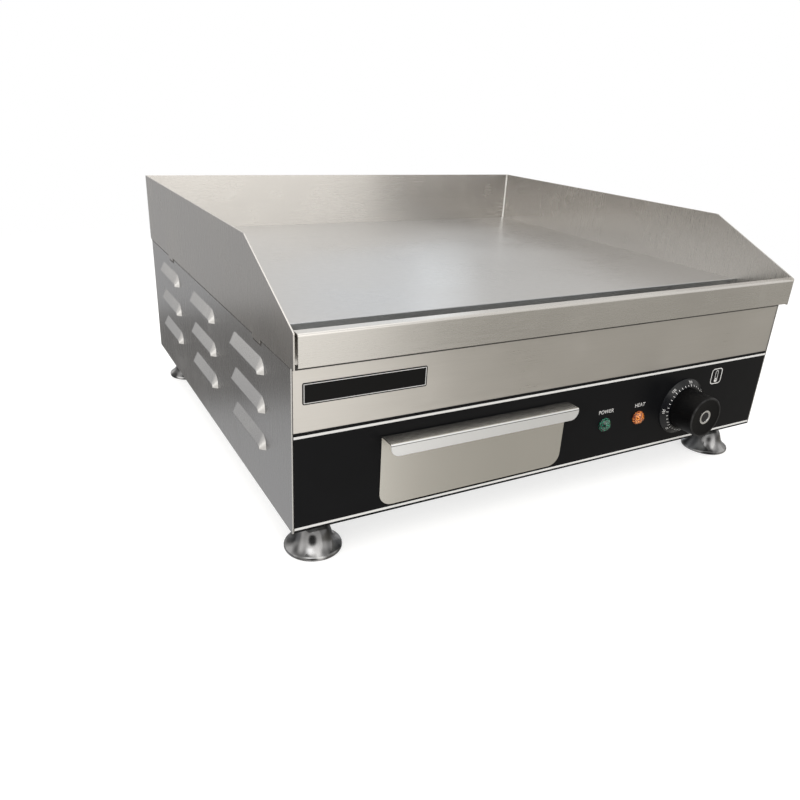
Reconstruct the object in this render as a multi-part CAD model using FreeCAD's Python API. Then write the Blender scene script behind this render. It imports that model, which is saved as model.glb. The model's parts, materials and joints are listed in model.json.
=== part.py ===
"""Countertop electric griddle with a splash guard, grease gutter and drawer, in millimetres.

+X is to the right, +Y to the back and +Z up. The origin is on the floor, at the centre of the
footprint. Each piece has its own function, and PIECES at the end names the file each one goes to.
"""
import FreeCAD, Part
import math
import os

V = FreeCAD.Vector

# ---------------------------------------------------------------- driving dimensions
WIDTH = 550.0             # over the splash guard's two side walls
DEPTH = 510.0             # from the gutter lip's face to the back of the splash guard
FOOT_HEIGHT = 36.0        # floor to the underside of the body
BODY_HEIGHT = 141.0       # body, from its underside to the seam with the splash guard
GUARD_HEIGHT = 77.0       # splash guard above the seam
GUARD_SHEET = 1.2         # sheet of the guard and the gutter
BODY_SHEET = 1.0          # sheet of the body panels
KNOB_REACH = 24.0         # knob's face in front of the lip's face
GLAND_REACH = 16.0        # cable gland's end behind the splash guard

# ---------------------------------------------------------------- planes worked out from them
HALF = WIDTH / 2
FRONT_Y = -(DEPTH + GLAND_REACH - KNOB_REACH) / 2
BACK_Y = FRONT_Y + DEPTH
GUARD_INNER_X = HALF - GUARD_SHEET
GUARD_INNER_Y = BACK_Y - GUARD_SHEET
SEAM_Z = FOOT_HEIGHT + BODY_HEIGHT
TOP_Z = SEAM_Z + GUARD_HEIGHT

# body panels
BODY_HALF = HALF - 1.0                       # outer faces of the side panels
BODY_INNER_X = BODY_HALF - BODY_SHEET
PANEL_HALF = BODY_INNER_X - 0.6              # front and rear panels, set between the sides
PANEL_Y = FRONT_Y + 9.0                      # front panel's outer face
PANEL_INNER_Y = PANEL_Y + BODY_SHEET
REAR_Y = BACK_Y - 1.5                        # rear panel's outer face
REAR_INNER_Y = REAR_Y - BODY_SHEET
BASE_SHEET = 1.2
BASE_TOP_Z = FOOT_HEIGHT + BASE_SHEET
PANEL_EDGE_GAP = 0.3                         # front and rear panels above the underside
PANEL_TOP_GAP = 0.5                          # and below the seam
FLANGE_WIDTH = 14.0                          # folded edges of the side panels
SCREW_RADIUS = 2.0
SCREW_HOLE_RADIUS = 2.2
VENT_LENGTH = 60.0
VENT_WIDTH = 6.0
VENT_PITCH = 16.0
VENT_COUNT = 8
VENT_XS = (60.0, 160.0)
VENT_FIRST_Y = PANEL_INNER_Y + 110.0
NAMEPLATE_SIZE = (106.0, 17.5)
NAMEPLATE_LEFT_X = -HALF + 10.0
NAMEPLATE_BOTTOM_Z = FOOT_HEIGHT + 109.5
RATING_SIZE = (90.0, 50.0)
RATING_BOTTOM_Z = FOOT_HEIGHT + 58.0
LABEL_THICKNESS = 0.4

# cooking plate
PLATE_THICKNESS = 8.0
PLATE_TOP_Z = SEAM_Z + 11.4
PLATE_BOTTOM_Z = PLATE_TOP_Z - PLATE_THICKNESS
PLATE_FRONT_Y = FRONT_Y + 71.5
GUARD_FLANGE = 12.0                          # inward flange that the plate rests on

# gutter
LIP_TOP_Z = SEAM_Z + 26.6
LIP_DROP = 25.5
LIP_DEPTH = 11.4
GUTTER_REAR_Y = FRONT_Y + 76.0
GUTTER_FLOOR_Z = SEAM_Z - 27.8
GUTTER_HALF = BODY_INNER_X - 1.6
DRAIN_RADIUS = 13.0
DRAIN_DROP = 30.0

# control strip
OVERLAY_THICKNESS = 0.4
OVERLAY_TOP_Z = FOOT_HEIGHT + 87.2
OVERLAY_Y = PANEL_Y - OVERLAY_THICKNESS
LAMP_Z = FOOT_HEIGHT + 38.7
LAMP_XS = (47.1, 92.0)
LAMP_HOLE_RADIUS = 6.0
LENS_RADIUS = 7.2
KNOB_X = 152.4
KNOB_Z = FOOT_HEIGHT + 41.4
KNOB_RADIUS = 21.3
BEZEL_RADIUS = 30.2
BEZEL_BORE = KNOB_RADIUS + 0.4
BEZEL_HEIGHT = 6.0
BEZEL_TOP_RADIUS = 23.4
BEZEL_WELL_RADIUS = 18.5                     # recess that covers the thermostat's screws
OVERLAY_HOLE_RADIUS = 18.0                   # hole in the strip behind the bezel
SPINDLE_RADIUS = 3.0
SPINDLE_FRONT_Y = PANEL_Y - 21.0
SPINDLE_FLAT = 1.8                           # from the axis to the flat
EMBLEM_RADIUS = 7.3
EMBLEM_SEAT = 2.4                            # depth of the emblem's recess
EMBLEM_SUNK = 0.9                            # emblem's face behind the knob's face
BUSH_RADIUS = 5.0

# grease drawer
DRAWER_X = -102.5
DRAWER_FACE_HALF = 95.75
DRAWER_FACE_BOTTOM_Z = FOOT_HEIGHT + 7.2
DRAWER_FACE_TOP_Z = FOOT_HEIGHT + 72.2
DRAWER_FACE_Y = OVERLAY_Y - 0.4              # back of the drawer's face
HANDLE_Y = FRONT_Y - 9.3                     # handle's front
HANDLE_DROP = 11.0
TRAY_HALF = 90.5
TRAY_DEPTH = 230.0
TRAY_BOTTOM_Z = FOOT_HEIGHT + 10.0
TRAY_TOP_Z = FOOT_HEIGHT + 64.0
TRAY_SHEET = 0.8
RUNNER_GAP = 0.5

# louvres
LOUVRE_LENGTH = 86.0
LOUVRE_HEIGHT = 13.0
LOUVRE_REACH = 5.0
LOUVRE_SLOPE = 10.0                          # height over which a hood slopes out to its full reach
LOUVRE_SIDE_SLOPE = 4.6                      # the same at each end
LOUVRE_CORNER = 9.0                          # outline radius where a hood leaves the panel
LOUVRE_CROWN_RADIUS = 1.4                    # rounding between the slopes and the crown
LOUVRE_HOLLOW_SIDE = 1.0                     # metal left round the hollow, at the panel
LOUVRE_HOLLOW_DOWN = 2.2
LOUVRE_HOLLOW_BELOW = 0.6                    # the hollow runs out past the open lower edge
LOUVRE_STARTS = [FRONT_Y + 69.0 + 147.0 * column for column in range(3)]
LOUVRE_TOPS = [FOOT_HEIGHT + 125.8 - 33.5 * row for row in range(3)]

# feet
FOOT_X = HALF - 29.8
FOOT_YS = {"front": FRONT_Y + 37.0, "rear": FRONT_Y + 479.0}
FOOT_SIDES = {"left": -1, "right": 1}
BELL_RADIUS = 24.9
BELL_HEIGHT = 29.7
STUD_RADIUS = 5.0
STUD_TOP_Z = 66.0
LOCKNUT_HEIGHT = 6.0
WELD_NUT_HEIGHT = 8.0
FOOT_NUT_WIDTH = 17.0
THREAD_GAP = 0.05                            # between a turning stud or spindle and its bore

# heating
ROD_RADIUS = 4.0
ROD_Z = PLATE_BOTTOM_Z - ROD_RADIUS - 0.1
ROD_PITCH = 32.0
ROD_RUNS = 4
ROD_LEFT_X = -236.0
ROD_RIGHT_X = 236.0
ROD_FIRST_Y = PLATE_FRONT_Y + 42.0
BAR_XS = (-170.0, 0.0, 170.0)
BAR_WIDTH = 16.0
BAR_THICKNESS = 2.0
BAR_TOP_Z = ROD_Z - ROD_RADIUS
ELEMENT_NAMES = ("front", "middle", "rear")
SHIELD_Z = SEAM_Z - 27.0
SHIELD_SHEET = 0.8
SHIELD_RIGHT_X = 222.0
BLANKET_THICKNESS = 10.0
BULB_RADIUS = 3.0
BULB_LENGTH = 90.0
BULB_Z = PLATE_BOTTOM_Z - BULB_RADIUS - 0.1
CAPILLARY_RADIUS = 0.8

# connections at the back
GLAND_X = 205.0
GLAND_Z = FOOT_HEIGHT + 40.0
GLAND_RADIUS = 8.0
CABLE_RADIUS = 4.5
EARTH_X = 150.0
EARTH_RADIUS = 3.0                           # stud's free end
EARTH_SHANK_RADIUS = 3.5                     # its clamped length, through the panel and nuts
EARTH_FREE_END = 9.8                         # length of that free end, past the outer nut
EARTH_INSIDE = 12.0                          # shank length inside the rear panel
EARTH_NUT_HEIGHT = 4.0
EARTH_NUT_WIDTH = 10.0                       # across flats
EARTH_WASHER = 1.2                           # thickness
EARTH_WASHER_RADIUS = 6.0
BLOCK_X = 205.0
BLOCK_Y = REAR_INNER_Y - 62.0
BLOCK_SIZE = (44.0, 26.0, 16.0)
WIRE_RADIUS = 1.6
CORE_PITCH = 3.38                            # between the supply cores at the gland


# ---------------------------------------------------------------- shape helpers
PLANES = {
    "xy": lambda a, b, level: V(a, b, level),
    "xz": lambda a, b, level: V(a, level, b),
    "yz": lambda a, b, level: V(level, a, b),
}
NORMALS = {"xy": V(0, 0, 1), "xz": V(0, 1, 0), "yz": V(1, 0, 0)}


def box(x0, x1, y0, y1, z0, z1):
    """Block between two opposite corners."""
    return Part.makeBox(x1 - x0, y1 - y0, z1 - z0, V(x0, y0, z0))


def rod(start, direction, radius, length):
    """Solid cylinder from start along direction."""
    return Part.makeCylinder(radius, length, start, direction)


def ring(start, direction, outer, inner, length):
    """Tube from start along direction."""
    return rod(start, direction, outer, length).cut(rod(start, direction, inner, length))


def joined(shapes):
    """One clean solid from overlapping or touching shapes."""
    return shapes[0].fuse(list(shapes[1:])).removeSplitter()


def mirrored(shape):
    """The same piece for the other side."""
    return shape.mirror(V(0, 0, 0), V(1, 0, 0))


def corner_arc(before, corner, after, radius):
    """Tangent points and middle of the arc that rounds one corner."""
    back = (before - corner).normalize()
    ahead = (after - corner).normalize()
    half = back.getAngle(ahead) / 2
    reach = radius / math.tan(half)
    bisector = (back + ahead).normalize()
    centre = corner + bisector * (radius / math.sin(half))
    return corner + back * reach, centre - bisector * radius, corner + ahead * reach


def rounded_wire(points, radii, closed=True):
    """Wire through points, each corner rounded by its own radius (0 leaves it sharp)."""
    count = len(points)
    edges = []
    ends = []
    for i, point in enumerate(points):
        inside = closed or 0 < i < count - 1
        if radii[i] > 0 and inside:
            first, middle, last = corner_arc(points[i - 1], point, points[(i + 1) % count], radii[i])
            ends.append((first, last))
            edges.append(Part.Arc(first, middle, last).toShape())
        else:
            ends.append((point, point))
    last_index = count if closed else count - 1
    for i in range(last_index):
        start = ends[i][1]
        end = ends[(i + 1) % count][0]
        if start.distanceToPoint(end) > 1e-6:
            edges.append(Part.makeLine(start, end))
    return Part.Wire(Part.__sortEdges__(edges))


def plate_2d(points, radii, plane, level, thickness):
    """Flat plate with a rounded outline, drawn in a plane and extruded along its normal."""
    place = PLANES[plane]
    if isinstance(radii, (int, float)):
        radii = [radii] * len(points)
    wire = rounded_wire([place(a, b, level) for a, b in points], radii)
    return Part.Face(wire).extrude(NORMALS[plane] * thickness)


def folded_sheet(points, thickness, bend, plane, level, length):
    """Folded sheet: material lies on the right of the path, bends have inner radius bend."""
    flat = [V(a, b, 0) for a, b in points]
    steps = [(flat[i + 1] - flat[i]).normalize() for i in range(len(flat) - 1)]
    rights = [V(step.y, -step.x, 0) for step in steps]
    near, far, near_radii, far_radii = [], [], [], []
    for i, point in enumerate(flat):
        before = rights[max(i - 1, 0)]
        after = rights[min(i, len(rights) - 1)]
        bisector = (before + after) * (1 / (1 + before.dot(after)))
        turns_left = before.x * after.y - before.y * after.x > 0
        is_bend = 0 < i < len(flat) - 1
        near.append(point)
        far.append(point + bisector * thickness)
        near_radii.append((bend if turns_left else bend + thickness) if is_bend else 0)
        far_radii.append((bend + thickness if turns_left else bend) if is_bend else 0)
    outline = [(p.x, p.y) for p in near + far[::-1]]
    return plate_2d(outline, near_radii + far_radii[::-1], plane, level, length)


def revolved(profile):
    """Solid turned about Z from edges that start and end on the axis."""
    return Part.Face(Part.Wire(profile)).revolve(V(0, 0, 0), V(0, 0, 1), 360)


def bent_rod(points, radius, bend):
    """Round rod along straight runs joined by tangent arcs."""
    radii = [0] + [bend] * (len(points) - 2) + [0]
    path = rounded_wire(points, radii, closed=False)
    start = (points[1] - points[0]).normalize()
    section = Part.Wire(Part.makeCircle(radius, points[0], start))
    return path.makePipeShell([section], True, False)


def hexagon(centre, direction, across_flats, height, bore=0):
    """Hexagonal nut or head along direction, with chamfered corners."""
    corner = across_flats / math.sqrt(3)
    turn = FreeCAD.Rotation(V(0, 0, 1), direction)
    points = []
    for i in range(6):
        angle = math.radians(60 * i + 30)
        points.append(V(corner * math.cos(angle), corner * math.sin(angle), 0))
    prism = Part.Face(Part.makePolygon(points + points[:1])).extrude(V(0, 0, height))
    slope = (corner - across_flats / 2) * 1.15
    cone_low = Part.makeCone(corner - slope, corner - slope + height, height)
    cone_high = Part.makeCone(corner - slope + height, corner - slope, height)
    nut = prism.common(cone_low).common(cone_high)
    if bore:
        nut = nut.cut(Part.makeCylinder(bore, height))
    nut.Placement = FreeCAD.Placement(centre, turn)
    return nut


def pan_screw(seat, direction, radius, length):
    """Pan-head cross-recessed screw: direction points from the seat out through the head."""
    head_radius = radius * 2
    head_height = radius * 1.3
    head = Part.makeCylinder(head_radius, head_height)
    head = head.makeFillet(head_height * 0.7, [head.Edges[0]])
    shank = Part.makeCylinder(radius, length, V(0, 0, -length))
    screw = head.fuse(shank).removeSplitter()
    arm = head_radius * 0.62
    width = radius * 0.22
    for half_x, half_y in ((arm, width), (width, arm)):
        slot = box(-half_x, half_x, -half_y, half_y, head_height * 0.4, head_height + 1)
        screw = screw.cut(slot)
    screw.Placement = FreeCAD.Placement(seat, FreeCAD.Rotation(V(0, 0, 1), direction))
    return screw


def group(shapes):
    """Separate solids that share one file."""
    return Part.makeCompound(shapes)


# ---------------------------------------------------------------- splash guard, plate and gutter
TAB_LENGTH = 20.0
TAB_DROP = 3.4
TAB_STARTS = (FRONT_Y + 74.5, FRONT_Y + 386.0)
SLOPE_TOP_Y = FRONT_Y + 108.5
FLANGE_START_Y = GUTTER_REAR_Y + 17.0


def guard_side():
    """Left side wall of the splash guard, with its locating tabs and inward flange."""
    outline = [(FRONT_Y, SEAM_Z), (FRONT_Y, LIP_TOP_Z + 1.0), (SLOPE_TOP_Y, TOP_Z), (BACK_Y, TOP_Z),
               (BACK_Y, SEAM_Z)]
    wall = plate_2d(outline, [0, 1.5, 6.0, 0, 0], "yz", -HALF, GUARD_SHEET)
    tabs = [box(-HALF, -GUARD_INNER_X, start, start + TAB_LENGTH, SEAM_Z - TAB_DROP, SEAM_Z)
            for start in TAB_STARTS]
    flange = box(-GUARD_INNER_X, GUARD_FLANGE - GUARD_INNER_X, FLANGE_START_Y, GUARD_INNER_Y,
                 SEAM_Z, SEAM_Z + GUARD_SHEET)
    return joined([wall, flange] + tabs)


def splash_guard():
    """Left, rear and right walls welded into one upstand round the plate."""
    left = guard_side()
    rear = box(-HALF, HALF, GUARD_INNER_Y, BACK_Y, SEAM_Z, TOP_Z)
    rear_flange = box(-GUARD_INNER_X, GUARD_INNER_X, GUARD_INNER_Y - GUARD_FLANGE, GUARD_INNER_Y,
                      SEAM_Z, SEAM_Z + GUARD_SHEET)
    guard = joined([left, mirrored(left), rear, rear_flange])
    for seat in tray_screw_seats():
        guard = guard.cut(rod(seat, V(0, 0, 1), SCREW_HOLE_RADIUS, 5))
    return guard


def griddle_plate():
    """Thick steel cooking plate with its front top edge broken."""
    plate = box(-GUARD_INNER_X, GUARD_INNER_X, PLATE_FRONT_Y, GUARD_INNER_Y,
                PLATE_BOTTOM_Z, PLATE_TOP_Z)
    front_edges = [edge for edge in plate.Edges
                   if edge.BoundBox.YMax < PLATE_FRONT_Y + 0.01 and edge.Length > PLATE_THICKNESS + 1]
    return plate.makeChamfer(0.5, front_edges)


def plate_gasket():
    """Ceramic-fibre strip between the guard's flange and the plate."""
    outer = GUARD_INNER_X
    inner = GUARD_INNER_X - 10.0
    low = SEAM_Z + GUARD_SHEET
    strip = box(-outer, outer, FLANGE_START_Y, GUARD_INNER_Y, low, PLATE_BOTTOM_Z)
    return strip.cut(box(-inner, inner, FLANGE_START_Y, GUARD_INNER_Y - 10.0, low, PLATE_BOTTOM_Z))


def gutter_trough():
    """Grease gutter: overhanging lip, trough, closed ends and a drain spout over the drawer."""
    lip_rear = FRONT_Y + LIP_DEPTH
    path = [(FRONT_Y, LIP_TOP_Z - LIP_DROP), (FRONT_Y, LIP_TOP_Z), (lip_rear, LIP_TOP_Z),
            (lip_rear, GUTTER_FLOOR_Z), (GUTTER_REAR_Y, GUTTER_FLOOR_Z),
            (GUTTER_REAR_Y, PLATE_BOTTOM_Z), (FLANGE_START_Y - 1.0, PLATE_BOTTOM_Z)]
    long_profile = folded_sheet(path, GUARD_SHEET, 0.8, "yz", -GUTTER_HALF, 2 * GUTTER_HALF)
    lip_end = folded_sheet(path, GUARD_SHEET, 0.8, "yz", GUTTER_HALF, GUARD_INNER_X - GUTTER_HALF)
    lip_end = lip_end.common(box(GUTTER_HALF, HALF, FRONT_Y, lip_rear, SEAM_Z, LIP_TOP_Z))
    pieces = [long_profile, lip_end]
    cap_low = GUTTER_FLOOR_Z - GUARD_SHEET
    cap_high = SEAM_Z + GUARD_SHEET
    for side in (-1, 1):
        cap_inner = GUTTER_HALF - GUARD_SHEET
        cap_x = sorted((side * cap_inner, side * GUTTER_HALF))
        rim_x = sorted((side * cap_inner, side * GUARD_INNER_X))
        pieces.append(box(*cap_x, lip_rear - GUARD_SHEET, GUTTER_REAR_Y + GUARD_SHEET,
                          cap_low, cap_high))
        pieces.append(box(*rim_x, lip_rear - GUARD_SHEET, GUTTER_REAR_Y + GUARD_SHEET,
                          SEAM_Z, cap_high))
    centre_y = (lip_rear + GUTTER_REAR_Y) / 2
    bottom = V(DRAWER_X, centre_y, cap_low - DRAIN_DROP)
    pieces.append(rod(bottom, V(0, 0, 1), DRAIN_RADIUS + 1.2, DRAIN_DROP + GUARD_SHEET))
    trough = joined(pieces)
    return trough.cut(rod(bottom, V(0, 0, 1), DRAIN_RADIUS, DRAIN_DROP + 2 * GUARD_SHEET))


# ---------------------------------------------------------------- body panels
def louvre_outline(start, top, side, down, drop):
    """Corners and radii of a louvre's outline: straight bottom edge, rounded top corners."""
    low = top - LOUVRE_HEIGHT - drop
    high = top - down
    points = [(start + side, low), (start + LOUVRE_LENGTH - side, low),
              (start + LOUVRE_LENGTH - side, high), (start + side, high)]
    radius = min(LOUVRE_CORNER - 0.8 * side, high - low - 0.3)
    return points, [0, 0, radius, radius]


def louvre_loft(start, top, sections):
    """Solid through louvre outlines at several distances from the panel's outer face."""
    wires = []
    for distance, side, down, drop in sections:
        points, radii = louvre_outline(start, top, side, down, drop)
        corners = [V(-BODY_HALF - distance, a, b) for a, b in points]
        wires.append(rounded_wire(corners, radii))
    return Part.makeLoft(wires, True, True)


def louvre_hood(start, top):
    """Outside of one pressed louvre: slopes out from its top, and is rounded onto its crown."""
    hood = louvre_loft(start, top, [(-BODY_SHEET / 2, 0.0, 0.0, 0.0), (0.0, 0.0, 0.0, 0.0),
                                    (LOUVRE_REACH, LOUVRE_SIDE_SLOPE, LOUVRE_SLOPE, 0.0)])
    crown = [edge for edge in hood.Edges
             if edge.BoundBox.XMax < -BODY_HALF - LOUVRE_REACH + 0.01
             and edge.BoundBox.ZMax > top - LOUVRE_HEIGHT + 0.01]
    return hood.makeFillet(LOUVRE_CROWN_RADIUS, crown)


def louvre_hollow(start, top):
    """Inside of one louvre: open through the panel and out of its straight lower edge."""
    mouth = (LOUVRE_HOLLOW_SIDE, LOUVRE_HOLLOW_DOWN, LOUVRE_HOLLOW_BELOW)
    crown = (LOUVRE_SIDE_SLOPE, LOUVRE_SLOPE + 0.2, LOUVRE_HOLLOW_BELOW)
    return louvre_loft(start, top, [(-BODY_SHEET - 1.0, *mouth), (0.0, *mouth),
                                    (LOUVRE_REACH - BODY_SHEET, *crown)])


def side_panel():
    """Left side panel: pressed louvres, and flanges along its top, bottom and rear edges."""
    front = PANEL_Y - 0.3
    path = [(-BODY_HALF, FOOT_HEIGHT), (-BODY_HALF, SEAM_Z), (-BODY_HALF + FLANGE_WIDTH, SEAM_Z)]
    wall = folded_sheet(path, BODY_SHEET, 0.8, "xz", front, REAR_Y - front)
    relief = box(-BODY_INNER_X, -BODY_HALF + 20.0, front - 1, FLANGE_START_Y, SEAM_Z - 3, SEAM_Z + 1)
    rear_relief = box(-BODY_INNER_X, -BODY_HALF + 20.0, REAR_INNER_Y - BODY_SHEET - 0.2, REAR_Y + 1,
                      SEAM_Z - 3, SEAM_Z + 1)
    panel = wall.cut(relief).cut(rear_relief)
    bottom_flange = box(-BODY_INNER_X, -BODY_INNER_X + FLANGE_WIDTH, PANEL_Y + 20.0, REAR_INNER_Y - 8.0,
                        BASE_TOP_Z, BASE_TOP_Z + BODY_SHEET)
    rear_flange = box(-BODY_INNER_X, -BODY_INNER_X + FLANGE_WIDTH, REAR_INNER_Y - BODY_SHEET, REAR_INNER_Y,
                      BASE_TOP_Z + 4.0, SEAM_Z - 4.0)
    places = [(start, top) for start in LOUVRE_STARTS for top in LOUVRE_TOPS]
    panel = joined([panel, bottom_flange, rear_flange] + [louvre_hood(*place) for place in places])
    for place in places:
        panel = panel.cut(louvre_hollow(*place))
    for start in TAB_STARTS:
        panel = panel.cut(box(-HALF, -BODY_INNER_X + 0.4, start - 0.4, start + TAB_LENGTH + 0.4,
                              SEAM_Z - TAB_DROP - 0.5, SEAM_Z + 1))
    for seat in tray_screw_seats():
        panel = panel.cut(rod(seat, V(0, 0, 1), SCREW_HOLE_RADIUS, 5))
    for seat in rear_screw_seats():
        panel = panel.cut(rod(seat, V(0, -1, 0), SCREW_HOLE_RADIUS, 5))
    return panel


def drawer_opening(y0, y1):
    """Hole in the front panel that the drawer's tray slides through."""
    half = TRAY_HALF + 1.0
    points = [(DRAWER_X - half, TRAY_BOTTOM_Z - 0.8), (DRAWER_X + half, TRAY_BOTTOM_Z - 0.8),
              (DRAWER_X + half, TRAY_TOP_Z + 1.0), (DRAWER_X - half, TRAY_TOP_Z + 1.0)]
    return plate_2d(points, 1.5, "xz", y0, y1 - y0)


def control_holes(y0, y1, lamp_radius, bush_radius):
    """Holes for the two lamps and the thermostat's bush."""
    holes = [rod(V(x, y0, LAMP_Z), V(0, 1, 0), lamp_radius, y1 - y0) for x in LAMP_XS]
    holes.append(rod(V(KNOB_X, y0, KNOB_Z), V(0, 1, 0), bush_radius, y1 - y0))
    return group(holes)


def front_panel():
    """Front panel with side and bottom returns, between the side panels."""
    face = box(-PANEL_HALF, PANEL_HALF, PANEL_Y, PANEL_INNER_Y, FOOT_HEIGHT + PANEL_EDGE_GAP,
               SEAM_Z - PANEL_TOP_GAP)
    return_top = GUTTER_FLOOR_Z - GUARD_SHEET - 2.0
    left = box(-PANEL_HALF, -PANEL_HALF + BODY_SHEET, PANEL_INNER_Y, PANEL_INNER_Y + 15.0,
               BASE_TOP_Z + 2.0, return_top)
    bottom = box(-PANEL_HALF + 2.0, PANEL_HALF - 2.0, PANEL_INNER_Y, PANEL_INNER_Y + 9.0,
                 BASE_TOP_Z, BASE_TOP_Z + BODY_SHEET)
    panel = joined([face, left, mirrored(left), bottom])
    panel = panel.cut(drawer_opening(PANEL_Y - 1, PANEL_INNER_Y + 1))
    panel = panel.cut(control_holes(PANEL_Y - 1, PANEL_INNER_Y + 1, LAMP_HOLE_RADIUS, BUSH_RADIUS))
    for seat in thermostat_screw_seats():
        panel = panel.cut(rod(seat, V(0, 1, 0), 1.6, 5))
    return panel


def control_overlay():
    """Thin black control strip bonded to the lower part of the front panel."""
    strip = box(-PANEL_HALF, PANEL_HALF, OVERLAY_Y, PANEL_Y, FOOT_HEIGHT + PANEL_EDGE_GAP,
                OVERLAY_TOP_Z)
    strip = strip.cut(drawer_opening(OVERLAY_Y - 1, PANEL_Y + 1))
    return strip.cut(control_holes(OVERLAY_Y - 1, PANEL_Y + 1, LAMP_HOLE_RADIUS,
                                   OVERLAY_HOLE_RADIUS))


def rear_panel():
    """Plain rear panel with the holes for the gland, the earth stud and its screws."""
    panel = box(-PANEL_HALF, PANEL_HALF, REAR_INNER_Y, REAR_Y, FOOT_HEIGHT + PANEL_EDGE_GAP,
               SEAM_Z - PANEL_TOP_GAP)
    panel = panel.cut(rod(V(GLAND_X, REAR_INNER_Y - 1, GLAND_Z), V(0, 1, 0), GLAND_RADIUS, 5))
    stud_start = V(EARTH_X, REAR_INNER_Y - 1, GLAND_Z)
    panel = panel.cut(rod(stud_start, V(0, 1, 0), EARTH_SHANK_RADIUS, 5))
    for seat in rear_screw_seats():
        panel = panel.cut(rod(seat, V(0, -1, 0), SCREW_HOLE_RADIUS, 5))
    return panel


def base_plate():
    """Bottom cover with rows of vent slots and the four foot holes."""
    base = box(-BODY_INNER_X, BODY_INNER_X, PANEL_INNER_Y, REAR_INNER_Y, FOOT_HEIGHT, BASE_TOP_Z)
    slots = []
    for centre_x in VENT_XS:
        x0, x1 = centre_x - VENT_LENGTH / 2, centre_x + VENT_LENGTH / 2
        for row in range(VENT_COUNT):
            y0 = VENT_FIRST_Y + VENT_PITCH * row
            y1 = y0 + VENT_WIDTH
            points = [(x0, y0), (x1, y0), (x1, y1), (x0, y1)]
            slots.append(plate_2d(points, VENT_WIDTH / 2 - 0.01, "xy", FOOT_HEIGHT - 1, 4))
    base = base.cut(group(slots))
    for x, y in foot_places():
        base = base.cut(rod(V(x, y, FOOT_HEIGHT - 1), V(0, 0, 1), STUD_RADIUS + 0.6, 4))
    return base


# ---------------------------------------------------------------- fasteners of the body
def tray_screw_seats():
    """Points under the side panels' top flanges where the splash guard is screwed down."""
    return [V(side * (GUARD_INNER_X - 7.0), y, SEAM_Z - BODY_SHEET)
            for side in (-1, 1) for y in (FRONT_Y + 130.0, FRONT_Y + 300.0, FRONT_Y + 470.0)]


def tray_screws():
    """Screws from the body's top flanges up into the splash guard's flange."""
    return group([pan_screw(seat, V(0, 0, -1), SCREW_RADIUS, 2.1) for seat in tray_screw_seats()])


def rear_screw_seats():
    """Points on the rear panel's outer face where it is screwed to the side panels."""
    return [V(side * (BODY_INNER_X - 7.5), REAR_Y, z)
            for side in (-1, 1) for z in (FOOT_HEIGHT + 18.0, FOOT_HEIGHT + 70.0, SEAM_Z - 18.0)]


def rear_screws():
    """Screws that hold the rear panel."""
    return group([pan_screw(seat, V(0, 1, 0), SCREW_RADIUS, 6.0) for seat in rear_screw_seats()])


def foot_places():
    """Centres of the four feet."""
    return [(side * FOOT_X, y) for y in FOOT_YS.values() for side in FOOT_SIDES.values()]


def foot_nuts():
    """A locknut under the base and a weld nut on it at each foot, bored to run on the stud."""
    nuts = []
    bore = STUD_RADIUS + THREAD_GAP
    up = V(0, 0, 1)
    for x, y in foot_places():
        under = V(x, y, FOOT_HEIGHT - LOCKNUT_HEIGHT)
        nuts.append(hexagon(under, up, FOOT_NUT_WIDTH, LOCKNUT_HEIGHT, bore))
        nuts.append(hexagon(V(x, y, BASE_TOP_Z), up, FOOT_NUT_WIDTH, WELD_NUT_HEIGHT, bore))
    return group(nuts)


# ---------------------------------------------------------------- feet
def foot_bell(x, y):
    """Bell-shaped foot: rolled rim, domed shoulder, flared side, ridge and neck."""
    rim = V(BELL_RADIUS, 0, 2.4)
    shoulder = V(22.0, 0, 7.6)
    flare_top = V(12.0, 0, 21.0)
    ridge = V(12.0, 0, 23.0)
    neck_low = V(9.2, 0, 24.2)
    neck_top = V(9.2, 0, BELL_HEIGHT)
    heel = V(23.6, 0, 0)
    profile = [
        Part.makeLine(V(0, 0, 0), heel),
        Part.Arc(heel, V(24.6, 0, 0.9), rim).toShape(),
        Part.Arc(rim, V(24.1, 0, 5.2), shoulder).toShape(),
        Part.Arc(shoulder, V(16.2, 0, 14.2), flare_top).toShape(),
        Part.makeLine(flare_top, ridge),
        Part.makeLine(ridge, neck_low),
        Part.makeLine(neck_low, neck_top),
        Part.makeLine(neck_top, V(0, 0, BELL_HEIGHT)),
        Part.makeLine(V(0, 0, BELL_HEIGHT), V(0, 0, 0)),
    ]
    bell = revolved(profile).cut(Part.makeCylinder(STUD_RADIUS, BELL_HEIGHT, V(0, 0, 8.0)))
    bell.translate(V(x, y, 0))
    return bell


def foot_stud(x, y):
    """Threaded stud of one foot, with chamfered top."""
    stud = rod(V(x, y, 8.0), V(0, 0, 1), STUD_RADIUS, STUD_TOP_Z - 8.0)
    top = [edge for edge in stud.Edges if edge.BoundBox.ZMin > STUD_TOP_Z - 0.01]
    return stud.makeChamfer(0.8, top)


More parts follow.
